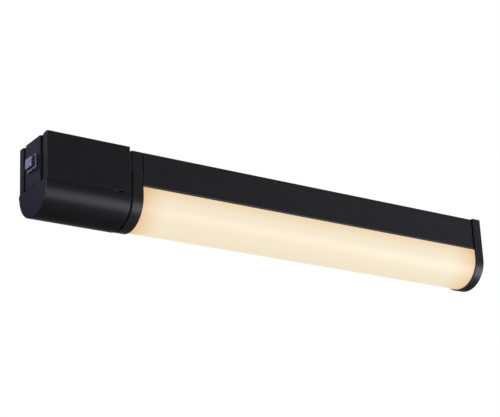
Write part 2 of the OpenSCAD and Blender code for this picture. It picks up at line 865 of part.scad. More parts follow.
module socket_insert() {
    color("#e9e7e0")
    difference() {
        union() {
            translate([socket_x, 0, socket_face])
                linear_extrude(socket_flange_t)
                    soft_rect(socket_flange, socket_flange, socket_corner_r);
            rod_z(socket_x, 0, socket_seat - eps, socket_top, socket_r);
        }
        for (sx = [-1, 1]) {
            rod_z(socket_x + sx * pin_pitch / 2, 0, socket_face - over,
                socket_face + pin_hole_d + eps, pin_hole_r);
            rod_z(socket_x + sx * pin_pitch / 2, 0, socket_face + pin_hole_d,
                contact_z0 + contact_l + contact_gap, contact_r + contact_gap);
            block([socket_x + sx * pin_pitch / 2 - tag[0] / 2 - contact_gap,
                socket_x + sx * pin_pitch / 2 + tag[0] / 2 + contact_gap],
                [-tag[1] / 2 - contact_gap, tag[1] / 2 + contact_gap],
                [contact_z0 + contact_l, socket_top + over]);
        }
        for (sx = [-1, 1], sy = [-1, 1])
            rod_z(socket_x + sx * socket_screw_pitch / 2, sy * socket_screw_pitch / 2,
                socket_face - over, socket_seat + over, small_screw_r + screw_gap);
    }
}

module socket_gasket() {
    color("#1c1c1c")
    difference() {
        translate([socket_x, 0, socket_seat])
            linear_extrude(socket_gasket_t)
                soft_rect(socket_flange, socket_flange, socket_corner_r);
        rod_z(socket_x, 0, socket_seat - over, deck_face + over, socket_r + socket_gap);
        for (sx = [-1, 1], sy = [-1, 1])
            rod_z(socket_x + sx * socket_screw_pitch / 2, sy * socket_screw_pitch / 2,
                socket_seat - over, deck_face + over, small_screw_r + screw_gap);
    }
}

module socket_contacts() {
    color("goldenrod")
    for (sx = [-1, 1])
        union() {
            difference() {
                rod_z(socket_x + sx * pin_pitch / 2, 0, contact_z0,
                    contact_z0 + contact_l, contact_r);
                rod_z(socket_x + sx * pin_pitch / 2, 0, contact_z0 - over,
                    contact_z0 + contact_l - contact_cap, contact_r - contact_wall);
            }
            block([socket_x + sx * pin_pitch / 2 - tag[0] / 2,
                socket_x + sx * pin_pitch / 2 + tag[0] / 2],
                [-tag[1] / 2, tag[1] / 2],
                [contact_z0 + contact_l - eps, socket_top + tag_out]);
        }
}

module socket_screws() {
    color("silver")
    for (sx = [-1, 1], sy = [-1, 1])
        screw_up(socket_x + sx * socket_screw_pitch / 2, sy * socket_screw_pitch / 2,
            socket_face, small_screw_r,
            socket_flange_t + socket_gasket_t + deck_t + socket_boss_h - socket_boss_skin
                - socket_tip_gap);
}

// ---- Wiring inside the box ----

module switch_wires() {
    blade_end = panel_x0 + barrel_d + blade[0];
    color("saddlebrown")
    for (i = [0, 1]) {
        start = [terminal_x0, switch_lead_y + lead_step * i, lead_z];
        finish = [blade_end, blade_y[i + 1], switch_z];
        wire([[start, start - [switch_lead[0], 0, 0], finish + [switch_lead[1], 0, 0],
            finish]], [0.1, 0.3, 1], 16);
    }
}

module driver_wires() {
    color("royalblue")
    for (i = [0, 1]) {
        start = [driver_lead_x + lead_step * i, terminal_y[0], lead_z];
        finish = [driver_lead_x + lead_step * i, driver_y[1], lead_z];
        wire([[start, start - [0, driver_lead, 0], finish + [0, driver_lead, 0], finish]],
            [1, 0, 0], 3);
    }
}

module socket_wires() {
    color("firebrick")
    for (i = [0, 1]) {
        start = [socket_lead_x[i], terminal_y[1], lead_z];
        finish = [socket_x + (2 * i - 1) * pin_pitch / 2, tag[1] / 2, socket_top + tag_out / 2];
        wire([[start, start + [0, socket_lead[0], 0], finish + [0, socket_lead[1], 0],
            finish]], [1, 0, 0.1], 18);
    }
}

module board_wires() {
    color("dimgray")
    for (i = [0, 1]) {
        y = (2 * i - 1) * board_lead_y;
        start = [driver_x1, driver_y[1] - board_lead_in + 2 * y, wire_hole_z];
        wall = [box_x1 - box_wall - wire_r, y, wire_hole_z];
        bend = [bar_x0, y, wire_hole_z];
        foot = [board_wire_x, y, board_z1];
        wire([
            [start, start + [2 * board_lead, 0, 0], wall - [wall_lead, 0, 0], wall],
            [wall, wall + [board_lead, 0, 0], bend - [board_lead, 0, 0], bend],
            [bend, bend + [board_lead, 0, 0], foot + [0, 0, board_lead], foot]
        ], [0, 1, 0]);
    }
}

// ---- Neck and bracket ----

module neck_spacer() {
    color("#18181a")
    difference() {
        block([box_x1, bracket_x0], [-neck_half, neck_half], neck_z);
        rod_x(box_x1 - over, bracket_x0 + over, 0, wire_hole_z, wire_hole_r);
        for (sy = [-1, 1])
            rod_x(box_x1 - over, bracket_x0 + over, sy * neck_screw_y, neck_screw_z,
                small_screw_r + screw_gap);
    }
}

module neck_screws() {
    color("silver")
    for (sy = [-1, 1])
        screw_x(box_x1 - box_wall, sy * neck_screw_y, neck_screw_z, 1,
            box_wall + neck_l + neck_screw_d - neck_tip_gap);
}

module bar_bracket() {
    color(black)
    difference() {
        along_x(bracket_x0, bracket_x1)
            intersection() {
                bar_outline(0);
                translate([-box_w, -bracket_h])
                    square([2 * box_w, bracket_h]);
            }
        block([bracket_x1 - tongue_t, bracket_x1 + over], [-tongue_half, tongue_half],
            [-bracket_h - over, tongue_z1]);
        rod_x(bracket_x0 - over, bracket_x1 + over, 0, wire_hole_z, wire_hole_r);
        for (sy = [-1, 1]) {
            rod_x(bracket_x0 - over, bracket_x0 + neck_screw_d, sy * neck_screw_y,
                neck_screw_z, small_screw_r + screw_gap);
            rod_x(bracket_x0 - over, bracket_x1 + over, sy * end_screw_y,
                -end_screw_h, small_screw_r + screw_gap);
            rod_x(bracket_x0 - over, bracket_x0 + head_sink, sy * end_screw_y,
                -end_screw_h, screw_head_ratio * small_screw_r + screw_head_gap);
        }
    }
}

module bracket_screws() {
    color("silver")
    for (sy = [-1, 1])
        screw_x(bracket_x0 + head_sink, sy * end_screw_y, -end_screw_h, 1,
            left_cap_l - head_sink + gasket_t + port_hole_d - port_tip_gap);
}

module left_end_cap() {
    color(black)
    difference() {
        union() {
            difference() {
                along_x(bracket_x0, bracket_x1)
                    intersection() {
                        bar_outline(cap_proud);
                        translate([-box_w, cap_top_z - 2 * box_w])
                            square([2 * box_w, 2 * box_w]);
                    }
                along_x(bracket_x0 + cap_wall, bracket_x1 + over)
                    intersection() {
                        bar_outline(cap_proud - cap_skin);
                        translate([-box_w, cap_top_z - cap_wall - 2 * box_w])
                            square([2 * box_w, 2 * box_w]);
                    }
            }
            block([bracket_x1 - tongue_t, bracket_x1],
                [-tongue_half + tongue_gap, tongue_half - tongue_gap],
                [cap_top_z - eps, tongue_z1 - tongue_gap]);
        }
        rod_x(bracket_x0 + cap_wall, bracket_x1 + over, 0, wire_hole_z, wire_hole_r);
        for (sy = [-1, 1])
            rod_x(bracket_x0 + cap_wall, bracket_x1 + over, sy * end_screw_y,
                -end_screw_h, small_screw_r + screw_gap);
    }
}

// ---- Bar ----

module side_channel() {
    wall_y = bar_half - profile_wall;
    rib_y = wall_y - channel_w;
    translate([rib_y - channel_rib, channel_z1])
        square([channel_w + channel_rib + eps, channel_rib]);
    translate([rib_y - channel_rib, channel_z1 - channel_rib_drop])
        square([channel_rib, channel_rib_drop + eps]);
}

module profile_outline() {
    top = -bar_top;
    wall_y = bar_half - profile_wall;
    difference() {
        arch_top(bar_half, profile_z0, top, bar_edge_r);
        translate([-wall_y, web_z1])
            square([2 * wall_y, top - slot_skin - web_z1]);
        translate([-wall_y, profile_z0 - over])
            square([2 * wall_y, web_z0 - profile_z0 + over]);
        translate([-slot_half, top - slot_skin - over])
            square([2 * slot_half, slot_skin + 2 * over]);
        for (side = [-1, 1], z = [top - line_top, profile_z0 + lip_h + line_h])
            translate([side * bar_half - line_d, z - line_h])
                square([2 * line_d, line_h]);
    }
    for (side = [0, 1])
        mirror([side, 0])
            side_channel();
    for (side = [-1, 1]) {
        translate([side * (slot_room + channel_rib / 2), top - slot_skin - slot_d / 2])
            square([channel_rib, slot_d + 2 * eps], center = true);
        translate([side * end_screw_y, -end_screw_h])
            circle(port_r);
        translate([side * (end_screw_y + wall_y + eps) / 2, -end_screw_h])
            square([wall_y - end_screw_y + eps, port_rib], center = true);
    }
    translate([-slot_room - channel_rib, top - slot_skin - slot_d - channel_rib])
        square([2 * (slot_room + channel_rib), channel_rib]);
}

module bar_profile() {
    color("#3a3a3c")
    difference() {
        along_x(bar_x0, bar_x1)
            profile_outline();
        for (sy = [-1, 1]) {
            rod_x(bar_x0 - over, bar_x0 + port_hole_d, sy * end_screw_y, -end_screw_h,
                small_screw_r + screw_gap);
            rod_x(bar_x1 - port_hole_d, bar_x1 + over, sy * end_screw_y, -end_screw_h,
                small_screw_r + screw_gap);
        }
        for (x = board_screw_x)
            rod_z(x, board_screw_y, web_z0 - over, web_z1 + over, small_screw_r + screw_gap);
        rod_z(board_wire_x, 0, web_z0 - over, web_z1 + over, wire_hole_r);
    }
}

module diffuser() {
    half = bar_half - diffuser_in;
    top = profile_z0 - diffuser_gap;
    leg_y = bar_half - profile_wall - diffuser_gap - diffuser_wall / 2;
    leg_h = channel_z1 - diffuser_gap - (top - diffuser_foot);
    color(warm_white)
    along_x(bar_x0, bar_x1) {
        difference() {
            u_outline(half, top, -arc_h);
            u_outline(half - diffuser_wall, top + over, -arc_h);
        }
        for (side = [-1, 1])
            translate([side * leg_y, top - diffuser_foot + leg_h / 2])
                square([diffuser_wall, leg_h], center = true);
    }
}

// White sheet between web and light board, with legs down beside the channels
module reflector() {
    color("white")
    difference() {
        along_x(board_x0, board_x1) {
            translate([-reflector_half, board_z1])
                square([2 * reflector_half, reflector_t]);
            for (side = [-1, 1])
                translate([side * (reflector_half - reflector_t / 2), board_z1 - reflector_leg / 2])
                    square([reflector_t, reflector_leg + eps], center = true);
        }
        for (x = board_screw_x)
            rod_z(x, board_screw_y, board_z1 - over, web_z0 + over, small_screw_r + screw_gap);
        rod_z(board_wire_x, 0, board_z1 - over, web_z0 + over, wire_hole_r);
    }
}

module light_board() {
    color("ghostwhite")
    difference() {
        block([board_x0, board_x1], [-board_w / 2, board_w / 2], [board_z0, board_z1]);
        for (x = board_screw_x)
            rod_z(x, board_screw_y, board_z0 - over, board_z1 + over, small_screw_r + screw_gap);
    }
}

module light_emitters() {
    color("khaki")
    for (i = [0 : led_count - 1])
        block([led_start + i * led_pitch - led_size[0] / 2,
            led_start + i * led_pitch + led_size[0] / 2],
            [-led_size[1] / 2, led_size[1] / 2], [board_z0 - led_size[2], board_z0]);
}

module board_screws() {
    color("silver")
    for (x = board_screw_x)
        screw_up(x, board_screw_y, board_z0, small_screw_r, board_t + reflector_t + web_t);
}

// A flat seal over the end of the profile and the diffuser
module end_gasket(x0) {
    along_x(x0, x0 + gasket_t)
        difference() {
            bar_outline(-gasket_in);
            bar_outline(cap_proud - cap_skin - gasket_over);
        }
}

module left_end_gasket() {
    color("#101010")
    end_gasket(bracket_x1);
}

module right_end_gasket() {
    color("#101010")
    end_gasket(bar_x1);
}

module right_end_cap() {
    color(black)
    difference() {
        union() {
            difference() {
                along_x(cap_x0, cap_x1)
                    bar_outline(cap_proud);
                along_x(cap_x0 - over, cap_x1 - cap_wall)
                    bar_outline(cap_proud - cap_skin);
            }
            for (sy = [-1, 1])
                rod_x(cap_x0, cap_x1 - cap_wall + eps, sy * end_screw_y, -end_screw_h,
                    cap_boss_r);
        }
        for (sy = [-1, 1]) {
            rod_x(cap_x0 - over, cap_x1 + over, sy * end_screw_y, -end_screw_h,
                small_screw_r + screw_gap);
            rod_x(cap_x1 - head_sink, cap_x1 + over, sy * end_screw_y, -end_screw_h,
                screw_head_ratio * small_screw_r + screw_head_gap);
        }
    }
}

module end_cap_screws() {
    color("silver")
    for (sy = [-1, 1])
        screw_x(cap_x1 - head_sink, sy * end_screw_y, -end_screw_h, -1,
            right_cap_l - head_sink + gasket_t + port_hole_d - port_tip_gap);
}

// Clip on the wall whose wide head the slot of the profile slides over
module wall_clip() {
    x = [clip_x - clip_l / 2, clip_x + clip_l / 2];
    head_top = -bar_top - slot_skin - clip_gap;
    head_low = -bar_top - slot_skin - slot_d + clip_gap;
    color("#8c8f94")
    difference() {
        union() {
            block(x, [-clip_foot, clip_foot], [-clip_foot_t, 0]);
            block(x, [-slot_half + clip_gap, slot_half - clip_gap], [head_low, 0]);
            block(x, [-slot_room + clip_gap, slot_room - clip_gap], [head_low, head_top]);
        }
        rod_z(clip_x, 0, head_low - over, over, fixing_r);
        rod_z(clip_x, 0, head_low - over, -clip_foot_t, clip_sink_r);
    }
}

box_housing();
box_back_plate();
housing_screws();
cable_grommet();
terminal_block();
terminal_screws();
led_driver();
driver_screws();
switch_panel();
switch_body();
switch_terminals();
switch_rocker();
switch_boot();
flap_cover();
flap_hinge_pin();
flap_catch();
catch_tongue();
socket_insert();
socket_gasket();
socket_contacts();
socket_screws();
switch_wires();
driver_wires();
socket_wires();
board_wires();
neck_spacer();
neck_screws();
bar_bracket();
left_end_cap();
bracket_screws();
bar_profile();
diffuser();
reflector();
light_board();
light_emitters();
board_screws();
left_end_gasket();
right_end_gasket();
right_end_cap();
end_cap_screws();
wall_clip();
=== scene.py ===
import math
from contextlib import contextmanager

import bmesh
import bpy
from mathutils import Matrix, Vector


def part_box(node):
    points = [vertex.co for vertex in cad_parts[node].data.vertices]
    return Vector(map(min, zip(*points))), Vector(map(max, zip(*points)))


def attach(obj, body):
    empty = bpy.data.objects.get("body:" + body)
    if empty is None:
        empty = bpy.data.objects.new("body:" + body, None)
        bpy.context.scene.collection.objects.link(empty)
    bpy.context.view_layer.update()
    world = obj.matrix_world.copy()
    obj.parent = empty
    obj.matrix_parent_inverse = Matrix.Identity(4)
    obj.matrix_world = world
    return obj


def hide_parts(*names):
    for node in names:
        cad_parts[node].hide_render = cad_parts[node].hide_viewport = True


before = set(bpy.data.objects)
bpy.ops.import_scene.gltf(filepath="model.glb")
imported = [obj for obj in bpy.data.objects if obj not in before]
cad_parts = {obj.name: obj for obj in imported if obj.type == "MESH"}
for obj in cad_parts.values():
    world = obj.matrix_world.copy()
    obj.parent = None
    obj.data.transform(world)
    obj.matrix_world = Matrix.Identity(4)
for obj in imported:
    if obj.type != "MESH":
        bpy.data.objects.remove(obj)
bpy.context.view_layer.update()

bl_info = {
    "name": "Vanity light bar",
    "version": (1, 0, 0),
    "blender": (4, 5, 0),
    "location": "View3D > Sidebar > Vanity light",
    "description": "Builds a wall-mounted vanity light bar with a switch box and a lit opal cover",
    "category": "Object",
}

MM = 0.001
OVER = 1 * MM      # how far a cutting block stands out of what it cuts
TINY = 0.01 * MM   # overlap of joined blocks, and the tolerance of places
FIT = 0.1 * MM     # clearance between pieces that plug into each other
DECK = 2.5 * MM    # thickness of the deck between box and cover
SMOOTH_ANGLE = math.radians(35)   # edges sharper than this stay sharp


# ---- Modelling helpers ----

def alone(obj):
    """Selects obj and nothing else, and makes it active."""
    bpy.ops.object.select_all(action="DESELECT")
    obj.select_set(True)
    bpy.context.view_layer.objects.active = obj


@contextmanager
def editing(obj):
    """Edit mode on obj, with nothing selected at the start."""
    alone(obj)
    bpy.ops.object.mode_set(mode="EDIT")
    bpy.ops.mesh.select_all(action="DESELECT")
    yield
    bpy.ops.object.mode_set(mode="OBJECT")


def pick(obj, test, kind="faces"):
    """In edit mode, selects the faces or edges that test accepts."""
    bpy.ops.mesh.select_mode(type="FACE" if kind == "faces" else "EDGE")
    bpy.ops.mesh.select_all(action="DESELECT")
    mesh = bmesh.from_edit_mesh(obj.data)
    mesh.normal_update()
    found = [g for g in getattr(mesh, kind) if test(g)]
    if not found:
        raise RuntimeError(f"{obj.name}: no {kind} found to shape")
    for g in found:
        g.select_set(True)
    bmesh.update_edit_mesh(obj.data)


def facing(axis, sign, at=None):
    """A test for faces whose normal points along an axis, and that lie at a place on it."""
    def test(face):
        there = at is None or abs(face.calc_center_median()[axis] - at) < TINY
        return face.normal[axis] * sign > 0.99 and there
    return test


def along(axis, **places):
    """A test for edges that run along an axis, at given places such as z=-0.05."""
    where = {"xyz".index(k): v for k, v in places.items()}
    def test(edge):
        a, b = (v.co for v in edge.verts)
        run = (b - a).normalized()
        return abs(run[axis]) > 0.999 and all(
            abs(a[i] - v) < TINY and abs(b[i] - v) < TINY for i, v in where.items())
    return test


def rim(axis, *places):
    """A test for the edges that lie in one of the planes at places on an axis."""
    return lambda edge: any(
        all(abs(v.co[axis] - at) < TINY for v in edge.verts) for at in places)


def extrude(vector):
    bpy.ops.mesh.extrude_region_move(TRANSFORM_OT_translate={"value": vector})


def round_edges(obj, test, width, segments=4):
    with editing(obj):
        pick(obj, test, "edges")
        bpy.ops.mesh.bevel(offset=width, segments=segments, affect="EDGES", profile=0.5)


def settle(obj):
    """Puts the object's place, turn and scale into its mesh."""
    alone(obj)
    bpy.ops.object.transform_apply(location=True, rotation=True, scale=True)


def block(name, low, high):
    """A cube primitive between two corners."""
    low, high = Vector(low), Vector(high)
    bpy.ops.mesh.primitive_cube_add(size=1, location=(low + high) / 2)
    obj = bpy.context.object
    obj.name = obj.data.name = name
    obj.scale = high - low
    settle(obj)
    return obj


def rod(name, start, end, radius, sides=48, fill="NGON"):
    """A cylinder primitive between two points."""
    start, end = Vector(start), Vector(end)
    turn = (end - start).to_track_quat("Z", "Y").to_euler()
    bpy.ops.mesh.primitive_cylinder_add(
        vertices=sides, radius=radius, depth=(end - start).length, end_fill_type=fill,
        location=(start + end) / 2, rotation=turn)
    obj = bpy.context.object
    obj.name = obj.data.name = name
    settle(obj)
    return obj


def modify(obj, kind, **settings):
    """Adds a modifier and applies it."""
    alone(obj)
    bpy.ops.object.modifier_add(type=kind)
    made = obj.modifiers[-1]
    for name, value in settings.items():
        setattr(made, name, value)
    bpy.ops.object.modifier_apply(modifier=made.name)


def carve(obj, *tools, how="DIFFERENCE"):
    """Cuts the tools out of obj, or adds them to it, and removes them."""
    for tool in tools:
        modify(obj, "BOOLEAN", operation=how, object=tool, solver="EXACT")
        bpy.data.objects.remove(tool)


def join(obj, *others):
    alone(obj)
    for other in others:
        other.select_set(True)
    bpy.ops.object.join()


def half_round(name, x0, x1, half, arc_z, top_z, fill="NGON"):
    """A bar along X with a half-round underside and straight sides up to top_z."""
    obj = rod(name, (x0, 0, arc_z), (x1, 0, arc_z), half, 128, fill)
    with editing(obj):
        bpy.ops.mesh.select_all(action="SELECT")
        bpy.ops.mesh.bisect(plane_co=(0, 0, arc_z), plane_no=(0, 0, 1),
                            clear_outer=True, use_fill=fill != "NOTHING")
        if fill == "NOTHING":
            pick(obj, along(0, z=arc_z), "edges")
        else:
            pick(obj, facing(2, 1, arc_z))
        extrude((0, 0, top_z - arc_z))
    return obj


def present(obj, body, material, node):
    """Gives a finished piece its shading, finish and body, in place of the node it stands for."""
    settle(obj)
    alone(obj)
    bpy.ops.object.shade_smooth_by_angle(angle=SMOOTH_ANGLE)
    modify(obj, "WEIGHTED_NORMAL", keep_sharp=True)
    obj.data.materials.clear()
    obj.data.materials.append(material)
    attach(obj, body)
    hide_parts(node)


# ---- Places on this light ----

SCREWS = {  # group: axis, way of the head along it, head radius, shank radius
    "end_cap_screws": (0, 1, 2.45 * MM, 1.4 * MM),
    "housing_screws": (2, -1, 2.975 * MM, 1.7 * MM),
    "socket_screws": (2, -1, 2.45 * MM, 1.4 * MM),
}
HEAD_HEIGHT = 1.8 * MM
RECESS_DEPTH, RECESS_HALF = 1.1 * MM, 0.28 * MM   # cross recess of a screw
RECESS_REACH = 0.62                               # half its length, per head radius

BOOT_FOOT = 1.1 * MM                # width and thickness of the foot of the boot
BOOT_TAPER = 0.91, 0.88             # width and height of the dome's top, per foot
BARREL_HALF = 9.3 * MM              # half width of the opening for the switch
FLANGE_LAP = 1.4 * MM               # how far the flange covers the wall above and below
WELL = 7.2 * MM, 4.9 * MM, 7 * MM   # half width, half height and depth of the rocker's well

BOSS_RADIUS, BOSS_HEIGHT, BOSS_BORE = 3 * MM, 7 * MM, 6 * MM   # for the socket screws
BOSS_HOLE, POST_HOLE = 1.6 * MM, 2.1 * MM   # radius for the socket and housing screws
SOCKET_HOLE = 18.2 * MM             # radius of the opening for the socket
WIRE_HOLE, WIRE_HEIGHT = 4 * MM, -14 * MM   # radius and height of the wire ways
KNUCKLE_SKIN = 0.2 * MM             # how far the cover's knuckles stay inside its skin

TONGUE_INSET, TONGUE_LENGTH = 4.3 * MM, 2 * MM   # tongue of the left cap in the bracket
LEFT_REBATE, RIGHT_REBATE = 0.7 * MM, 1.5 * MM   # length of the steps at the profile's ends
REBATE_DEPTH = 0.9 * MM

# Roundings that only one kind of edge has
WALL_RIM, COVER_RIM, NOTCH_RIM, SCOOP_EDGE = 0.2 * MM, 0.8 * MM, 0.6 * MM, 0.5 * MM
PANEL_EDGE, BRACKET_RIM, LINE_EDGE = 1.2 * MM, 0.45 * MM, 0.3 * MM
CAP_RIM, CAP_MOUTH = 0.6 * MM, 0.25 * MM
HEAD_EDGE, TIP_EDGE = 0.7 * MM, 0.3 * MM


def screw_places(group):
    """The two or four places of a group of screws, with no value along their axis."""
    axis, head = SCREWS[group][0], SCREWS[group][2]
    low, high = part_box(group)
    spans = [sorted({round(low[i] + head, 6), round(high[i] - head, 6)}) for i in range(3)]
    spans[axis] = [0.0]
    return [Vector((x, y, z)) for x in spans[0] for y in spans[1] for z in spans[2]]


def seam_height():
    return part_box("socket_gasket")[1].z


def hinge_line():
    low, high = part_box("flap_hinge_pin")
    return (low.y + high.y) / 2, (low.z + high.z) / 2


def knuckles(sizes):
    """The three knuckles of the cover, as spans along X."""
    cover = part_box("flap_cover")
    box_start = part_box("box_housing")[0].x
    middle = (box_start + cover[1].x) / 2
    return ((cover[0].x, box_start + sizes.outer_knuckle),
            (middle - sizes.middle_knuckle / 2, middle + sizes.middle_knuckle / 2),
            (cover[1].x - sizes.outer_knuckle, cover[1].x))


def hinge_knuckle(obj, sizes, x0, x1, skin, reach_z):
    """Adds a knuckle on its web to obj, and bores it for the pin."""
    y, z = hinge_line()
    carve(obj, block("web", (x0, y, min(z, reach_z)), (x1, skin, max(z, reach_z))),
          rod("barrel", (x0, y, z), (x1, y, z), sizes.knuckle_radius, 48), how="UNION")
    bore = sizes.pin_radius + 0.05 * MM
    carve(obj, rod("bore", (x0 - OVER, y, z), (x1 + OVER, y, z), bore, 32))


def on_skin(edge, half, arc, button):
    """Whether an edge lies on the front skin of the cover, round the notch for the catch."""
    slack, below, sharp = 0.05 * MM, 2 * MM, math.radians(40)
    for vertex in edge.verts:
        x, y, z = vertex.co
        out = -y if z > arc else math.hypot(y, z - arc)
        if (y > 0 or abs(out - half) > slack or z < button[0].z - below
                or not button[0].x - OVER < x < button[1].x + OVER):
            return False
    return len(edge.link_faces) == 2 and edge.calc_face_angle() > sharp


def copy_of(name, node):
    """A merged copy of a node's mesh."""
    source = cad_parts[node]
    obj = bpy.data.objects.new(name, source.data.copy())
    bpy.context.scene.collection.objects.link(obj)
    with editing(obj):
        bpy.ops.mesh.select_all(action="SELECT")
        bpy.ops.mesh.remove_doubles(threshold=0.001 * MM)
        bpy.ops.mesh.dissolve_limited(angle_limit=math.radians(1))
    return obj


def cross_screw(group, place):
    """A pan-head screw with a cross recess, at one place of its group."""
    axis, way, head_r, shank_r = SCREWS[group]
    low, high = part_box(group)
    top, tip = (high[axis], low[axis]) if way > 0 else (low[axis], high[axis])
    unit = Vector([1.0 if i == axis else 0.0 for i in range(3)])
    seat = top - way * HEAD_HEIGHT
    head = rod(group + "_head", place + unit * seat, place + unit * top, head_r, 48)
    round_edges(head, rim(axis, top), HEAD_EDGE, 4)
    others = [i for i in range(3) if i != axis]
    for long, thin in (others, others[::-1]):
        half = Vector((0, 0, 0))
        half[long], half[thin] = RECESS_REACH * head_r, RECESS_HALF
        bottom = place + unit * (top - way * RECESS_DEPTH)
        over = place + unit * (top + way * OVER)
        corner_a, corner_b = bottom - half, over + half
        carve(head, block("recess", [min(a, b) for a, b in zip(corner_a, corner_b)],
                          [max(a, b) for a, b in zip(corner_a, corner_b)]))
    shank = rod("shank", place + unit * tip, place + unit * (seat + way * TINY), shank_r, 24)
    round_edges(shank, rim(axis, tip), TIP_EDGE, 2)
    carve(head, shank, how="UNION")
    return head


# ---- Materials ----

def linear(hex_colour):
    """sRGB hex to linear RGBA."""
    parts = [int(hex_colour[i:i + 2], 16) / 255 for i in (1, 3, 5)]
    return tuple(c / 12.92 if c <= 0.04045 else ((c + 0.055) / 1.055) ** 2.4
                 for c in parts) + (1.0,)


def shade(colour, factor):
    """A linear colour, made darker or lighter."""
    return tuple(channel * factor for channel in colour[:3]) + (1.0,)


def add(tree, kind, inputs=None, **settings):
    """Adds a shader node with its settings, values and links."""
    made = tree.nodes.new("ShaderNode" + kind)
    for name, value in settings.items():
        setattr(made, name, value)
    for name, value in (inputs or {}).items():
        if isinstance(value, bpy.types.NodeSocket):
            tree.links.new(value, made.inputs[name])
        else:
            made.inputs[name].default_value = value
    return made


def new_material(name):
    material = bpy.data.materials.new(name)
    material.use_nodes = True
    tree = material.node_tree
    tree.nodes.clear()
    return material, tree, add(tree, "TexCoord").outputs["Object"]


def close(tree, shader):
    add(tree, "OutputMaterial", {"Surface": shader})


def stops(made, *pairs):
    """Sets the stops of a colour ramp node."""
    ramp = made.color_ramp
    while len(ramp.elements) > 1:
        ramp.elements.remove(ramp.elements[-1])
    for i, (place, colour) in enumerate(pairs):
        element = ramp.elements[0] if i == 0 else ramp.elements.new(place)
        element.position = place
        element.color = colour


def moulded(name, colour, rough, grain_mm=0.5):
    """ABS or nylon moulded in a spark-eroded tool: a fine even grain and a soft satin shine."""
    material, tree, place = new_material(name)
    cloud = add(tree, "TexNoise", {"Vector": place, "Scale": 1 / (35 * MM), "Detail": 3.0})
    grain = add(tree, "TexNoise", {"Vector": place, "Scale": 1 / (grain_mm * MM), "Detail": 2.0})
    tint = add(tree, "ValToRGB", {"Fac": cloud.outputs["Fac"]})
    stops(tint, (0.3, shade(colour, 0.85)), (0.7, shade(colour, 1.15)))
    shine = add(tree, "MapRange", {"Value": grain.outputs["Fac"], "To Min": rough - 0.05,
                                   "To Max": rough + 0.05})
    relief = add(tree, "Bump", {"Height": grain.outputs["Fac"], "Strength": 0.25,
                                "Distance": 0.02 * MM})
    close(tree, add(tree, "BsdfPrincipled", {
        "Base Color": tint.outputs["Color"], "Roughness": shine.outputs["Result"],
        "IOR": 1.5, "Normal": relief.outputs["Normal"]}).outputs["BSDF"])
    return material


def anodised(name, colour, rough):
    """Extruded aluminium, etched and dyed black: faint die lines along its length."""
    material, tree, place = new_material(name)
    stretch = add(tree, "Mapping", {"Vector": place, "Scale": (0.01, 1.0, 1.0)})
    lines = add(tree, "TexNoise", {"Vector": stretch.outputs["Vector"],
                                   "Scale": 1 / (0.35 * MM), "Detail": 3.0})
    tint = add(tree, "ValToRGB", {"Fac": lines.outputs["Fac"]})
    stops(tint, (0.3, shade(colour, 0.82)), (0.7, shade(colour, 1.18)))
    shine = add(tree, "MapRange", {"Value": lines.outputs["Fac"], "To Min": rough - 0.06,
                                   "To Max": rough + 0.06})
    relief = add(tree, "Bump", {"Height": lines.outputs["Fac"], "Strength": 0.15,
                                "Distance": 0.01 * MM})
    close(tree, add(tree, "BsdfPrincipled", {
        "Base Color": tint.outputs["Color"], "Metallic": 1.0,
        "Roughness": shine.outputs["Result"], "Normal": relief.outputs["Normal"]}).outputs["BSDF"])
    return material


def metal(name, dark, light, rough):
    """Plated or turned metal with a slightly uneven finish."""
    material, tree, place = new_material(name)
    grain = add(tree, "TexNoise", {"Vector": place, "Scale": 1 / (0.8 * MM), "Detail": 4.0})
    tint = add(tree, "ValToRGB", {"Fac": grain.outputs["Fac"]})
    stops(tint, (0.35, linear(dark)), (0.65, linear(light)))
    shine = add(tree, "MapRange", {"Value": grain.outputs["Fac"], "To Min": rough - 0.08,
                                   "To Max": rough + 0.08})
    close(tree, add(tree, "BsdfPrincipled", {
        "Base Color": tint.outputs["Color"], "Metallic": 1.0,
        "Roughness": shine.outputs["Result"]}).outputs["BSDF"])
    return material


def opal(name, colours):
    """Opal extruded acrylic, lit from inside: warmer where the light has further to go."""
    low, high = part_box("diffuser")
    x0, x1 = low.x, high.x
    top_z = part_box("bar_profile")[0].z
    material, tree, place = new_material(name)
    split = add(tree, "SeparateXYZ", {"Vector": place})
    lit = None
    for axis, edge, inner, least in (("X", x0, x0 + 32 * MM, 0.3), ("X", x1, x1 - 40 * MM, 0.35),
                                     ("Z", top_z, top_z - 14 * MM, 0.5)):
        fade = add(tree, "MapRange", {"Value": split.outputs[axis], "From Min": edge,
                                      "From Max": inner, "To Min": least},
                   interpolation_type="SMOOTHSTEP").outputs["Result"]
        lit = fade if lit is None else add(
            tree, "Math", {0: lit, 1: fade}, operation="MULTIPLY").outputs["Value"]
    warmth = add(tree, "ValToRGB", {"Fac": lit})
    stops(warmth, (0.0, shade(colours.glow_edge, 1)), (0.45, shade(colours.glow_warm, 1)),
          (1.0, shade(colours.glow, 1)))
    haze = add(tree, "TexNoise", {"Vector": place, "Scale": 1 / (3 * MM), "Detail": 2.0})
    shine = add(tree, "MapRange", {"Value": haze.outputs["Fac"], "To Min": 0.3,
                                   "To Max": 0.4})
    close(tree, add(tree, "BsdfPrincipled", {
        "Base Color": linear("#6a675f"), "Roughness": shine.outputs["Result"], "IOR": 1.49,
        "Emission Color": warmth.outputs["Color"], "Emission Strength": 0.86}).outputs["BSDF"])
    return material


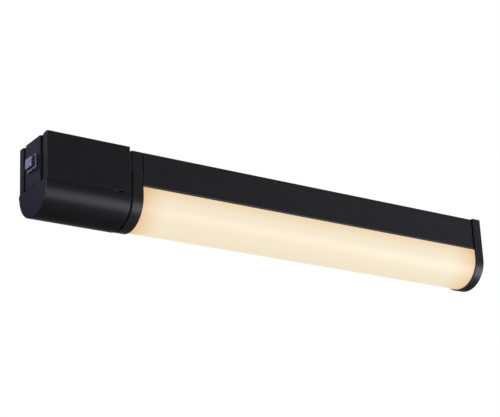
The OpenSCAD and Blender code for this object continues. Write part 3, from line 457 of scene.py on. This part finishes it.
def clear_plastic(name, colour, rough, clear):
    """Soft clear PVC, dipped: glossy, with a milky haze that catches the light."""
    material, tree, place = new_material(name)
    haze = add(tree, "TexNoise", {"Vector": place, "Scale": 1 / (2.5 * MM), "Detail": 3.0})
    shine = add(tree, "MapRange", {"Value": haze.outputs["Fac"], "To Min": rough,
                                   "To Max": rough + 0.06})
    tint = add(tree, "ValToRGB", {"Fac": haze.outputs["Fac"]})
    stops(tint, (0.35, shade(colour, 0.8)), (0.65, shade(colour, 1.1)))
    close(tree, add(tree, "BsdfPrincipled", {
        "Base Color": tint.outputs["Color"], "Roughness": shine.outputs["Result"], "IOR": 1.52,
        "Transmission Weight": clear}).outputs["BSDF"])
    return material


def emitter(name, hex_colour):
    """The phosphor of a white light-emitting diode, lit."""
    material, tree, place = new_material(name)
    dots = add(tree, "TexNoise", {"Vector": place, "Scale": 1 / (0.5 * MM)})
    tint = add(tree, "ValToRGB", {"Fac": dots.outputs["Fac"]})
    stops(tint, (0.3, linear("#fff0c8")), (0.7, linear(hex_colour)))
    close(tree, add(tree, "BsdfPrincipled", {
        "Base Color": linear("#d8c060"), "Roughness": 0.5,
        "Emission Color": tint.outputs["Color"], "Emission Strength": 1.0}).outputs["BSDF"])
    return material


# ---- Sizes and colours ----

def length(name, description, default_mm, low_mm, high_mm):
    return bpy.props.FloatProperty(name=name, description=description, default=default_mm * MM,
                                   min=low_mm * MM, max=high_mm * MM, unit="LENGTH")


class LightSizes(bpy.types.PropertyGroup):
    edge: length("Edge rounding", "Rounding of the long edges of box and bar", 0.8, 0.1, 2)
    rim: length("Rim rounding", "Rounding of the rims of the half-round pieces", 0.5, 0.1, 1)
    groove_edge: length("Groove edge", "Rounding of the edges along the grooves", 0.9, 0.3, 1.5)
    fine_edge: length("Fine edge", "Rounding of the small edges", 0.3, 0.05, 0.5)
    wall: length("Wall", "Wall of the moulded box and its cover", 2, 1, 3)
    end_wall: length("End wall", "Wall of the box at its switch end", 3.5, 2.5, 5)
    groove: length("Groove", "Width of the grooves beside the switch panel", 6.1, 4, 8)
    knuckle_radius: length("Knuckle radius", "Radius of the hinge knuckles", 2.3, 2.1, 2.5)
    outer_knuckle: length("Outer knuckle", "Length of the outer knuckles of the cover", 16, 12, 20)
    middle_knuckle: length("Middle knuckle", "Length of the middle knuckle of the cover",
                           18, 12, 24)
    pin_radius: length("Hinge pin radius", "Radius of the hinge pin", 1.0, 0.8, 1.2)
    gap: length("Gap", "Gap round the catch and between the knuckles", 0.3, 0.2, 0.5)
    boot_wall: length("Boot wall", "Wall of the clear switch boot", 0.8, 0.5, 0.9)
    boot_edge: length("Boot edge", "Rounding of the clear switch boot", 0.45, 0.3, 1.5)
    profile_wall: length("Profile wall", "Wall of the aluminium profile", 1.6, 1.4, 2)
    line_depth: length("Line depth", "Depth of the fine grooves along the profile", 0.5, 0.2, 0.6)
    line_height: length("Line height", "Height of the fine grooves along the profile",
                        0.9, 0.3, 1.2)
    line_from_top: length("Upper line", "Distance of the upper line from the top", 2.8, 1.2, 3.2)
    lip: length("Lip", "Height of the lip under the lower line", 2.4, 2, 3.5)
    lip_taper: length("Lip taper", "How far the lip draws in towards its lower edge", 0.6, 0, 0.8)
    opal_wall: length("Diffuser wall", "Wall of the opal cover", 1.8, 1, 2.5)
    cap_skin: length("Cap skin", "Wall of the end caps round the bar", 3.2, 2, 4)
    cap_wall: length("Cap end", "Wall of the end caps across the bar", 2, 1.6, 3)


def colour(name, description, hex_colour):
    return bpy.props.FloatVectorProperty(
        name=name, description=description, default=linear(hex_colour)[:3],
        subtype="COLOR", min=0, max=1)


class LightColours(bpy.types.PropertyGroup):
    housing: colour("Box", "Moulded plastic of the box and its cover", "#0d0d0f")
    panel: colour("Switch panel", "Moulded plastic of the switch panel", "#101218")
    caps: colour("Caps", "Moulded plastic of the end caps", "#1a1918")
    neck: colour("Neck", "Moulded plastic of the neck", "#1c1c1e")
    profile: colour("Profile", "Anodised aluminium of the bar", "#504f4f")
    boot: colour("Boot", "Tint of the clear switch boot", "#d6d6f2")
    switch: colour("Switch", "Nylon of the switch", "#1c1c22")
    glow: colour("Glow", "Light of the diffuser in its middle", "#f5e6c6")
    glow_warm: colour("Warm glow", "Light of the diffuser towards its ends", "#efd2a8")
    glow_edge: colour("Edge glow", "Light of the diffuser at its edges", "#dba870")


RECIPES = {
    "housing": ("satin_black_abs", lambda n, c: moulded(n, c.housing, 0.40)),
    "cover": ("satin_black_abs_cover", lambda n, c: moulded(n, c.housing, 0.36)),
    "panel": ("blue_black_abs", lambda n, c: moulded(n, c.panel, 0.36)),
    "caps": ("black_abs_caps", lambda n, c: moulded(n, c.caps, 0.34)),
    "neck": ("dull_black_abs", lambda n, c: moulded(n, c.neck, 0.55)),
    "switch": ("grey_black_nylon", lambda n, c: moulded(n, c.switch, 0.5)),
    "profile": ("black_anodised_aluminium", lambda n, c: anodised(n, c.profile, 0.36)),
    "boot": ("clear_soft_pvc", lambda n, c: clear_plastic(n, c.boot, 0.03, 0.98)),
    "boot_foot": ("milky_soft_pvc", lambda n, c: clear_plastic(n, c.boot, 0.2, 0.8)),
    "opal": ("lit_opal_acrylic", lambda n, c: opal(n, c)),
    "emitter": ("warm_led_phosphor", lambda n, c: emitter(n, "#ffe2a0")),
    "white": ("white_nylon", lambda n, c: moulded(n, linear("#d6d4cd"), 0.45, 0.6)),
    "sheet": ("white_reflector_paper", lambda n, c: moulded(n, linear("#e8e8e6"), 0.6)),
    "zinc": ("zinc_plated_steel", lambda n, c: metal(n, "#9a9ca2", "#c0c2c6", 0.32)),
    "brass": ("turned_brass", lambda n, c: metal(n, "#a88a48", "#c8aa60", 0.3)),
    "rubber": ("black_epdm_rubber", lambda n, c: moulded(n, linear("#0a0a0a"), 0.8)),
    "brown": ("brown_pvc_wire", lambda n, c: moulded(n, linear("#52301b"), 0.4)),
    "blue": ("blue_pvc_wire", lambda n, c: moulded(n, linear("#234296"), 0.4)),
    "red": ("red_pvc_wire", lambda n, c: moulded(n, linear("#96211a"), 0.4)),
    "grey": ("grey_pvc_wire", lambda n, c: moulded(n, linear("#5e5f63"), 0.4)),
}


def finish(key):
    """The material of a finish, made when it is first asked for."""
    name, make = RECIPES[key]
    return bpy.data.materials.get(name) or make(name, bpy.context.scene.light_colours)


# ---- Operators ----

class Piece(bpy.types.Operator):
    bl_options = {"REGISTER", "UNDO"}

    def execute(self, context):
        self.build(context.scene.light_sizes)
        return {"FINISHED"}


class VANITY_OT_inner_pieces(Piece):
    """Give the pieces that keep their engineering shape their finishes"""
    bl_idname = "vanity.inner_pieces"
    bl_label = "Inner pieces"

    def build(self, sizes):
        plan = {
            "emitter": ["light_emitters"],
            "white": ["terminal_block", "led_driver", "socket_insert"],
            "sheet": ["reflector", "light_board"],
            "zinc": ["driver_screws", "flap_hinge_pin", "neck_screws", "bracket_screws",
                     "board_screws", "wall_clip", "box_back_plate", "catch_tongue"],
            "brass": ["terminal_screws", "switch_terminals", "socket_contacts"],
            "rubber": ["cable_grommet", "socket_gasket", "left_end_gasket", "right_end_gasket"],
            "brown": ["switch_wires"], "blue": ["driver_wires"], "red": ["socket_wires"],
            "grey": ["board_wires"],
        }
        for key, nodes in plan.items():
            for node in nodes:
                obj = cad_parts[node]
                obj.data.materials.clear()
                obj.data.materials.append(finish(key))


class VANITY_OT_housing(Piece):
    """Model the square upper shell of the box with its switch pocket and hinge knuckles"""
    bl_idname = "vanity.housing"
    bl_label = "Box housing"

    def build(self, sizes):
        low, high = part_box("box_housing")
        panel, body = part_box("switch_panel"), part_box("switch_body")
        seam, deck = seam_height(), seam_height() + DECK
        shell = block("upper_shell", (low.x, low.y, seam), high)
        side = panel[1].y + sizes.groove
        carve(shell, block("pocket", (low.x - OVER, -side, seam - OVER),
                           (panel[1].x, side, high.z + OVER)))
        round_edges(shell, lambda e: along(2)(e) and abs(abs(e.verts[0].co.y) - high.y) < TINY,
                    sizes.edge)
        round_edges(shell, along(2, x=low.x), sizes.groove_edge, 4)
        round_edges(shell, rim(2, high.z), WALL_RIM, 2)
        round_edges(shell, rim(2, seam), sizes.rim, 3)
        inside = high.y - sizes.wall
        carve(shell, block("room", (low.x + sizes.end_wall, -inside, deck),
                           (high.x - sizes.wall, inside, high.z + OVER)))
        screws = screw_places("socket_screws")
        for x, y, _ in screws:
            carve(shell, rod("boss", (x, y, deck - TINY), (x, y, deck + BOSS_HEIGHT),
                             BOSS_RADIUS, 32), how="UNION")
        carve(shell,
              block("barrel_hole", (low.x - OVER, -BARREL_HALF, body[0].z + FLANGE_LAP),
                    (low.x + sizes.end_wall + OVER, BARREL_HALF, body[1].z - FLANGE_LAP)),
              *(rod("screw_hole", (x, y, seam - OVER), (x, y, deck + BOSS_BORE), BOSS_HOLE, 24)
                for x, y, _ in screws),
              *(rod("screw_hole", (x, y, seam - OVER), (x, y, deck + OVER), POST_HOLE, 24)
                for x, y, _ in screw_places("housing_screws")))
        gasket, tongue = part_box("socket_gasket"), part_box("catch_tongue")
        middle = (gasket[0] + gasket[1]) / 2
        slot_side, slot_back = 1.3 * MM, 1.9 * MM
        carve(shell,
              rod("socket_hole", (middle.x, middle.y, seam - OVER),
                  (middle.x, middle.y, deck + OVER), SOCKET_HOLE, 96),
              block("catch_slot", (tongue[0].x - slot_side, -inside, seam - OVER),
                    (tongue[1].x + slot_side, tongue[1].y + slot_back, deck + OVER)),
              rod("wire_hole", (high.x - sizes.wall - OVER, 0, WIRE_HEIGHT),
                  (high.x + OVER, 0, WIRE_HEIGHT), WIRE_HOLE, 32))
        lengths = knuckles(sizes)
        for x0, x1 in ((lengths[0][1], lengths[1][0]), (lengths[1][1], lengths[2][0])):
            hinge_knuckle(shell, sizes, x0 + sizes.gap, x1 - sizes.gap, high.y, seam + TINY)
        present(shell, "light", finish("housing"), "box_housing")


class VANITY_OT_cover(Piece):
    """Model the half-round cover under the box, with its catch notch and hinge knuckles"""
    bl_idname = "vanity.cover"
    bl_label = "Lower cover"

    def build(self, sizes):
        low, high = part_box("flap_cover")
        half = high.y
        arc = low.z + half
        shell = half_round("lower_cover", low.x, high.x, half, arc, high.z)
        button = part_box("flap_catch")
        notch_back = -half + sizes.wall + 0.5 * MM
        carve(shell, block("notch", (button[0].x - sizes.gap, -half - OVER,
                                     button[0].z - sizes.gap),
                           (button[1].x + sizes.gap, notch_back, high.z + OVER)))
        round_edges(shell, rim(0, low.x, high.x), COVER_RIM, 4)
        round_edges(shell, lambda e: on_skin(e, half, arc, button), NOTCH_RIM, 3)
        round_edges(shell, along(0, y=half, z=high.z), sizes.fine_edge, 2)
        carve(shell, half_round("room", low.x + sizes.wall, high.x - sizes.wall,
                                half - sizes.wall, arc, high.z + OVER))
        y, z = hinge_line()
        reach = sizes.knuckle_radius + sizes.gap
        carve(shell, block("hinge_slot", (low.x - OVER, y - reach, z - reach),
                           (high.x + OVER, half + OVER, high.z + OVER)))
        for x0, x1 in knuckles(sizes):
            hinge_knuckle(shell, sizes, x0, x1, half - KNUCKLE_SKIN, z - reach - TINY)
        for x0 in (low.x, high.x - sizes.wall):
            carve(shell, block("web", (x0, y - reach - TINY, z - reach - TINY),
                               (x0 + sizes.wall, y, z)), how="UNION")
        present(shell, "flap", finish("cover"), "flap_cover")


class VANITY_OT_catch(Piece):
    """Model the push button of the catch, with its finger scoop"""
    bl_idname = "vanity.catch"
    bl_label = "Catch button"

    def build(self, sizes):
        low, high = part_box("flap_catch")
        button = block("catch_button", low, high)
        round_edges(button, lambda e: True, sizes.fine_edge, 2)
        scoop_z, side, depth, top = low.z + 1 * MM, 0.9 * MM, 0.8 * MM, 0.6 * MM
        carve(button, block("finger_scoop", (low.x + side, low.y - OVER, scoop_z),
                            (high.x - side, low.y + depth, high.z - top)))
        round_edges(button, along(0, y=low.y, z=scoop_z), SCOOP_EDGE, 3)
        present(button, "catch", finish("housing"), "flap_catch")


class VANITY_OT_switch(Piece):
    """Model the switch panel, the flanged switch body and its rocker"""
    bl_idname = "vanity.switch"
    bl_label = "Switch"

    def build(self, sizes):
        low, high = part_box("switch_panel")
        panel = block("raised_panel", (low.x, low.y, seam_height() + TINY), high)
        round_edges(panel, along(2, x=low.x), PANEL_EDGE, 5)
        round_edges(panel, rim(2, seam_height() + TINY), sizes.fine_edge, 2)
        foot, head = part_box("switch_body")
        hole_y, hole_z = BARREL_HALF, (head.z - foot.z) / 2 - FLANGE_LAP
        mid = (foot.z + head.z) / 2
        carve(panel, block("barrel_hole", (low.x - OVER, -hole_y, mid - hole_z),
                           (high.x + OVER, hole_y, mid + hole_z)))
        present(panel, "light", finish("panel"), "switch_panel")

        flange = block("switch_flange", foot, (low.x, head.y, head.z))
        round_edges(flange, lambda e: along(0)(e) or rim(0, foot.x)(e), sizes.fine_edge, 3)
        carve(flange, block("barrel", (low.x - TINY, -hole_y + FIT, mid - hole_z + FIT),
                            (head.x, hole_y - FIT, mid + hole_z - FIT)), how="UNION")
        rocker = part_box("switch_rocker")
        well_y, well_z, well_x = WELL
        pivot_x = low.x + 2 * MM
        carve(flange, block("well", (foot.x - OVER, -well_y, mid - well_z),
                            (low.x + well_x, well_y, mid + well_z)),
              rod("pivot_hole", (pivot_x, 0, rocker[0].z - FIT),
                  (pivot_x, 0, rocker[1].z + FIT), 0.85 * MM, 24))
        present(flange, "light", finish("switch"), "switch_body")

        tip = copy_of("tilting_rocker", "switch_rocker")
        modify(tip, "BEVEL", width=sizes.fine_edge, segments=2, limit_method="ANGLE",
               angle_limit=math.radians(50))
        present(tip, "rocker", finish("switch"), "switch_rocker")


class VANITY_OT_boot(Piece):
    """Model the clear splash boot over the rocker"""
    bl_idname = "vanity.boot"
    bl_label = "Switch boot"

    def build(self, sizes):
        low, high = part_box("switch_boot")
        step = Vector((0, BOOT_FOOT, BOOT_FOOT))
        foot = block("boot_foot", (high.x - BOOT_FOOT, low.y, low.z), high)
        round_edges(foot, lambda e: not rim(0, high.x)(e), sizes.fine_edge, 2)
        carve(foot, block("dome_hole", low + step - Vector((OVER, 0, 0)),
                          high - step + Vector((OVER, 0, 0))))
        foot.data.materials.clear()
        foot.data.materials.append(finish("boot_foot"))
        boot = block("clear_boot", low + step, high - step)
        with editing(boot):
            pick(boot, facing(0, -1, low.x))
            bpy.ops.transform.resize(value=(1, BOOT_TAPER[0], BOOT_TAPER[1]),
                                     center_override=(low.x, 0, (low.z + high.z) / 2))
        round_edges(boot, lambda e: not rim(0, high.x)(e), sizes.boot_edge, 5)
        with editing(boot):
            pick(boot, facing(0, 1, high.x))
            bpy.ops.mesh.delete(type="FACE")
        modify(boot, "SOLIDIFY", thickness=sizes.boot_wall, offset=-1, use_even_offset=True)
        present(boot, "light", finish("boot"), "switch_boot")
        join(boot, foot)


class VANITY_OT_neck(Piece):
    """Model the recessed neck, the bracket block and the U-shaped cap beside it"""
    bl_idname = "vanity.neck"
    bl_label = "Neck and left cap"

    def build(self, sizes):
        low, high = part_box("neck_spacer")
        neck = block("neck_block", low, high)
        round_edges(neck, along(0), sizes.edge)
        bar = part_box("diffuser")
        start, inset, below = low.x + 0.5 * MM, 0.4 * MM, 1 * MM
        collar = half_round("collar", start, high.x, bar[1].y - inset, bar[0].z + bar[1].y,
                            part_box("bar_bracket")[1].z - below)
        round_edges(collar, rim(0, start, high.x), sizes.fine_edge, 2)
        carve(neck, collar, how="UNION")
        carve(neck, rod("wire_hole", (low.x - OVER, 0, WIRE_HEIGHT),
                        (high.x + OVER, 0, WIRE_HEIGHT), WIRE_HOLE, 32))
        present(neck, "light", finish("neck"), "neck_spacer")

        low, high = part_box("bar_bracket")
        bracket = block("bracket_block", low, high)
        round_edges(bracket, along(0, z=high.z), sizes.edge)
        round_edges(bracket, lambda e: rim(0, low.x, high.x)(e) or rim(2, low.z)(e),
                    BRACKET_RIM, 3)
        cap_low, cap_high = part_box("left_end_cap")
        tongue = cap_high.y - TONGUE_INSET
        carve(bracket, block("recess", (high.x - TONGUE_LENGTH, -tongue, low.z - OVER),
                             (high.x + OVER, tongue, cap_high.z + FIT)))
        present(bracket, "light", finish("caps"), "bar_bracket")

        top = low.z - 1 * MM
        low, high = cap_low, cap_high
        half, arc = high.y, low.z + high.y
        cap = half_round("u_shaped_cap", low.x, high.x, half, arc, top)
        round_edges(cap, rim(0, low.x, high.x), sizes.rim, 3)
        round_edges(cap, along(0, z=top), sizes.fine_edge, 2)
        carve(cap, half_round("room", low.x + sizes.cap_wall, high.x + OVER,
                              half - sizes.cap_skin, arc, top - sizes.cap_wall))
        carve(cap, block("tongue", (high.x - TONGUE_LENGTH, -tongue + FIT, top - TINY),
                         (high.x, tongue - FIT, high.z)), how="UNION")
        present(cap, "light", finish("caps"), "left_end_cap")


class VANITY_OT_profile(Piece):
    """Model the aluminium profile with its fine lines, its web and the slot for the clip"""
    bl_idname = "vanity.profile"
    bl_label = "Profile"

    def build(self, sizes):
        low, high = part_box("bar_profile")
        half = high.y
        beam = block("aluminium_profile", low, high)
        for top in (high.z - sizes.line_from_top, low.z + sizes.lip + sizes.line_height):
            bottom = top - sizes.line_height
            with editing(beam):
                for z in (top, bottom):
                    bpy.ops.mesh.select_all(action="SELECT")
                    bpy.ops.mesh.bisect(plane_co=(0, 0, z), plane_no=(0, 0, 1))
                for side in (-1, 1):
                    pick(beam, lambda f: facing(1, side, side * half)(f)
                         and bottom < f.calc_center_median().z < top)
                    extrude((0, -side * sizes.line_depth, 0))
            for side in (-1, 1):
                round_edges(beam, along(0, y=side * half, z=bottom), LINE_EDGE, 3)
        with editing(beam):
            for side in (-1, 1):
                pick(beam, along(0, y=side * half, z=low.z), "edges")
                bpy.ops.transform.translate(value=(0, -side * sizes.lip_taper, 0))
        round_edges(beam, along(0, z=high.z), sizes.edge)
        for x0, x1 in ((low.x - OVER, low.x + LEFT_REBATE),
                       (high.x - RIGHT_REBATE, high.x + OVER)):
            for side in (-1, 1):
                skin = sorted((side * (half - REBATE_DEPTH), side * (half + OVER)))
                carve(beam, block("rebate", (x0, skin[0], low.z - OVER),
                                  (x1, skin[1], high.z + OVER)))
            carve(beam, block("rebate", (x0, -half - OVER, high.z - REBATE_DEPTH),
                              (x1, half + OVER, high.z + OVER)))
        inside = half - sizes.profile_wall
        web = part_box("reflector")[1].z
        skin, slot, deep, rib = 1.5 * MM, 9 * MM, 3.5 * MM, 1.2 * MM
        x0, x1 = low.x - OVER, high.x + OVER
        carve(beam,
              block("lower_room", (x0, -inside, low.z - OVER), (x1, inside, web)),
              block("upper_room", (x0, -inside, web + sizes.profile_wall),
                    (x1, inside, high.z - skin)),
              block("slot", (x0, -slot, high.z - skin - TINY), (x1, slot, high.z + OVER)))
        floor = high.z - skin - deep
        room = slot + 4 * MM
        for low_y, high_y, low_z, high_z in (
                (-room - rib, -room, floor - rib, high.z - skin + TINY),
                (room, room + rib, floor - rib, high.z - skin + TINY),
                (-room - TINY, room + TINY, floor - rib, floor)):
            carve(beam, block("rib", (low.x, low_y, low_z), (high.x, high_y, high_z)),
                  how="UNION")
        present(beam, "light", finish("profile"), "bar_profile")


class VANITY_OT_diffuser(Piece):
    """Model the half-round opal cover with its two legs"""
    bl_idname = "vanity.diffuser"
    bl_label = "Diffuser"

    def build(self, sizes):
        low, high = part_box("diffuser")
        half = high.y
        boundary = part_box("bar_profile")[0].z - FIT
        cover = half_round("opal_cover", low.x, high.x, half, low.z + half, boundary, "NOTHING")
        modify(cover, "SOLIDIFY", thickness=sizes.opal_wall, offset=-1)
        shift = 1.3 * MM
        with editing(cover):
            for side in (-1, 1):
                pick(cover, lambda f: facing(2, 1, boundary)(f)
                     and f.calc_center_median().y * side > 0)
                extrude((0, -side * shift, 0))
                extrude((0, 0, high.z - boundary))
        present(cover, "light", finish("opal"), "diffuser")


class VANITY_OT_right_cap(Piece):
    """Model the end cap at the free end, with the two seats of its screws"""
    bl_idname = "vanity.right_cap"
    bl_label = "Right end cap"

    def build(self, sizes):
        low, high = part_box("right_end_cap")
        half = high.y
        cap = half_round("free_end_cap", low.x, high.x, half, low.z + half, high.z)
        round_edges(cap, along(0, z=high.z), sizes.edge)
        round_edges(cap, rim(0, high.x), CAP_RIM, 4)
        round_edges(cap, rim(0, low.x), CAP_MOUTH, 2)
        with editing(cap):
            pick(cap, facing(0, -1, low.x))
            bpy.ops.mesh.inset(thickness=sizes.cap_skin - CAP_MOUTH)
            extrude((high.x - low.x - sizes.cap_wall, 0, 0))
        seat_depth, seat_radius = 2.2 * MM, SCREWS["end_cap_screws"][2] + 0.3 * MM
        boss_radius, hole_radius, boss_end = 4 * MM, 1.6 * MM, high.x - 1 * MM
        for _, y, z in screw_places("end_cap_screws"):
            carve(cap, rod("boss", (low.x, y, z), (boss_end, y, z), boss_radius, 48),
                  how="UNION")
            carve(cap, rod("hole", (low.x - OVER, y, z), (high.x + OVER, y, z), hole_radius, 24),
                  rod("seat", (high.x - seat_depth, y, z), (high.x + OVER, y, z),
                      seat_radius, 48))
        present(cap, "light", finish("caps"), "right_end_cap")


class VANITY_OT_screws(Piece):
    """Model the cross-head screws that show outside or with the cover open"""
    bl_idname = "vanity.screws"
    bl_label = "Screws"

    def build(self, sizes):
        for group in SCREWS:
            places = screw_places(group)
            first = cross_screw(group, places[0])
            others = []
            for place in places[1:]:
                another = first.copy()
                another.data = first.data.copy()
                bpy.context.scene.collection.objects.link(another)
                another.location = place - places[0]
                others.append(another)
            join(first, *others)
            first.name = group.replace("screws", "cross_screws")
            present(first, "light", finish("zinc"), group)


class VANITY_OT_stage(bpy.types.Operator):
    """Set up the floor, the soft studio light and the camera"""
    bl_idname = "vanity.stage"
    bl_label = "Stage"
    bl_options = {"REGISTER", "UNDO"}

    def execute(self, context):
        scene = context.scene
        scene.view_settings.view_transform = "Standard"

        bpy.ops.mesh.primitive_plane_add(size=10, location=(0, 0.5, -2.3))
        floor = context.object
        floor.name = "floor"
        material, tree, place = new_material("pale_paper_floor")
        fibre = add(tree, "TexNoise", {"Vector": place, "Scale": 60.0, "Detail": 4.0})
        tint = add(tree, "ValToRGB", {"Fac": fibre.outputs["Fac"]})
        stops(tint, (0.3, linear("#efefee")), (0.7, linear("#f6f6f5")))
        paper = add(tree, "BsdfPrincipled", {
            "Base Color": tint.outputs["Color"], "Roughness": 0.9})
        shaded = add(tree, "Emission", {"Color": linear("#f4f4f6"), "Strength": 0.09})
        bright = add(tree, "Emission", {"Color": linear("#ffffff"), "Strength": 1.0})
        rays = add(tree, "LightPath")
        seen = add(tree, "Math", {0: rays.outputs["Is Camera Ray"],
                                  1: rays.outputs["Is Transmission Ray"]},
                   operation="MAXIMUM")
        share = add(tree, "Math", {0: seen.outputs["Value"], 1: 0.8},
                    operation="MULTIPLY")
        lit = add(tree, "MixShader", {0: share.outputs["Value"],
                                      1: paper.outputs["BSDF"],
                                      2: bright.outputs["Emission"]})
        close(tree, add(tree, "MixShader", {
            0: rays.outputs["Is Glossy Ray"], 1: lit.outputs["Shader"],
            2: shaded.outputs["Emission"]}).outputs["Shader"])
        floor.data.materials.append(material)

        self.backdrop(scene)
        bar = Vector((-0.03, 0, -0.045))
        box_end = Vector((-0.3, 0, -0.03))
        for lamp in (
                ("softbox_front", bar, 42, -25, 1.7, (1.5, 0.95), 12.0, "#f2f0ff"),
                ("softbox_top", bar, 10, 70, 1.9, (1.6, 1.2), 10.0, "#ffffff"),
                ("softbox_below", bar, -100, -62, 1.2, (0.8, 0.8), 1.5, "#ffeacc"),
                ("softbox_side", box_end, -68, -8, 1.2, (0.3, 0.75), 9.0, "#f4f2ff"),
                ("softbox_corner", bar, 76, -52, 1.5, (0.7, 0.7), 0.5, "#f2f0ff"),
                ("softbox_right", bar, 75, -15, 1.8, (0.35, 0.35), 9.0, "#f2f0ff"),
                ("softbox_face", box_end, -90, -5, 0.5, (0.14, 0.14), 0.4, "#d0e0ff"),
                ("softbox_boot", box_end, -153.7, 22, 0.5, (0.05, 0.05), 0.009, "#dce0ff"),
                ("softbox_end", box_end, -145, 38, 0.5, (0.16, 0.14), 0.13, "#f6e8ff"),
                ("softbox_end_blue", box_end, -145, 6, 0.5, (0.16, 0.14), 0.037, "#2070ff")):
            self.lamp(*lamp)

        camera = bpy.data.cameras.new("camera")
        camera.lens, camera.sensor_width = 110.963, 36.0   # both in mm
        camera.clip_start, camera.clip_end = 0.05, 50
        obj = bpy.data.objects.new("camera", camera)
        scene.collection.objects.link(obj)
        stand = Vector((-0.9726, -1.3486, -0.6334))
        right = Vector((0.8271, -0.5602, -0.0458))
        ahead = Vector((0.5396, 0.7686, 0.3436))
        turn = Matrix((right, right.cross(ahead), -ahead)).transposed()
        obj.matrix_world = Matrix.Translation(stand) @ turn.to_4x4()
        scene.camera = obj
        return {"FINISHED"}

    def backdrop(self, scene):
        """A white surround for the camera and for rays straight through clear pieces.

        Reflections see a dim studio instead, darkest on the camera's side and from below.
        """
        world = bpy.data.worlds.new("studio")
        world.use_nodes = True
        scene.world = world
        tree = world.node_tree
        tree.nodes.clear()
        rays = add(tree, "LightPath")
        towards = add(tree, "TexCoord").outputs["Generated"]
        split = add(tree, "SeparateXYZ", {"Vector": towards})
        behind = add(tree, "MapRange", {"Value": split.outputs["Y"], "From Min": -0.6,
                                        "From Max": 0.9, "To Min": 0.06, "To Max": 0.55})
        away = add(tree, "MapRange", {"Value": split.outputs["X"], "From Min": -0.45,
                                      "From Max": 0.2, "To Min": 0.06})
        aside = add(tree, "MapRange", {"Value": split.outputs["X"], "From Min": 0.4,
                                       "From Max": 0.72, "To Max": 0.3})
        above = add(tree, "MapRange", {"Value": split.outputs["Z"], "From Min": -0.25,
                                       "From Max": 0.1, "To Min": 0.18})
        back = add(tree, "Math", {0: behind.outputs["Result"],
                                  1: away.outputs["Result"]}, operation="MULTIPLY")
        right = add(tree, "Math", {0: back.outputs["Value"],
                                   1: aside.outputs["Result"]}, operation="ADD")
        level = add(tree, "Math", {0: right.outputs["Value"],
                                   1: above.outputs["Result"]}, operation="MULTIPLY")
        ambient = add(tree, "Background", {"Color": linear("#f4f4ff"), "Strength": 0.45})
        mirror = add(tree, "Background", {"Color": linear("#f0f0ff"),
                                          "Strength": level.outputs["Value"]})
        white = add(tree, "Background", {"Color": (1, 1, 1, 1), "Strength": 1.0})
        glossy = add(tree, "MixShader", {0: rays.outputs["Glossy Depth"],
                                         1: ambient.outputs[0], 2: mirror.outputs[0]})
        bounces = add(tree, "Math", {0: rays.outputs["Glossy Depth"],
                                     1: rays.outputs["Diffuse Depth"]},
                      operation="ADD")
        unbounced = add(tree, "Math", {0: bounces.outputs["Value"], 1: 0.5},
                        operation="LESS_THAN")
        through = add(tree, "Math", {0: rays.outputs["Is Transmission Ray"],
                                     1: unbounced.outputs["Value"]},
                      operation="MULTIPLY")
        seen = add(tree, "Math", {0: rays.outputs["Is Camera Ray"],
                                  1: through.outputs["Value"]}, operation="MAXIMUM")
        mixed = add(tree, "MixShader", {0: seen.outputs["Value"],
                                        1: glossy.outputs[0], 2: white.outputs[0]})
        add(tree, "OutputWorld", {"Surface": mixed.outputs[0]})

    def lamp(self, name, centre, azimuth, elevation, distance, size, power, hex_colour):
        """A soft box that faces the light; azimuth 0 is in front, 90 at the free end."""
        a, e = math.radians(azimuth), math.radians(elevation)
        away = Vector((math.sin(a) * math.cos(e), -math.cos(a) * math.cos(e), math.sin(e)))
        data = bpy.data.lights.new(name, "AREA")
        data.shape, data.size, data.size_y = "RECTANGLE", *size
        data.energy, data.color = power, linear(hex_colour)[:3]
        obj = bpy.data.objects.new(name, data)
        bpy.context.scene.collection.objects.link(obj)
        obj.location = centre + away * distance
        obj.rotation_euler = away.to_track_quat("Z", "Y").to_euler()


PIECES = (VANITY_OT_inner_pieces, VANITY_OT_housing, VANITY_OT_cover, VANITY_OT_catch,
          VANITY_OT_switch, VANITY_OT_boot, VANITY_OT_neck, VANITY_OT_profile,
          VANITY_OT_diffuser, VANITY_OT_right_cap, VANITY_OT_screws)


class VANITY_PT_panel(bpy.types.Panel):
    bl_idname = "VANITY_PT_panel"
    bl_label = "Vanity light bar"
    bl_space_type = "VIEW_3D"
    bl_region_type = "UI"
    bl_category = "Vanity light"

    def draw(self, context):
        for group in (context.scene.light_sizes, context.scene.light_colours):
            for name in group.__annotations__:
                self.layout.prop(group, name)
        for piece in (*PIECES, VANITY_OT_stage):
            self.layout.operator(piece.bl_idname)


CLASSES = (LightSizes, LightColours, *PIECES, VANITY_OT_stage, VANITY_PT_panel)


def register():
    for made in CLASSES:
        bpy.utils.register_class(made)
    bpy.types.Scene.light_sizes = bpy.props.PointerProperty(type=LightSizes)
    bpy.types.Scene.light_colours = bpy.props.PointerProperty(type=LightColours)


def unregister():
    del bpy.types.Scene.light_sizes, bpy.types.Scene.light_colours
    for made in reversed(CLASSES):
        bpy.utils.unregister_class(made)


def main():
    register()
    for piece in (*PIECES, VANITY_OT_stage):
        group, name = piece.bl_idname.split(".")
        getattr(getattr(bpy.ops, group), name)()


if __name__ == "__main__":
    main()
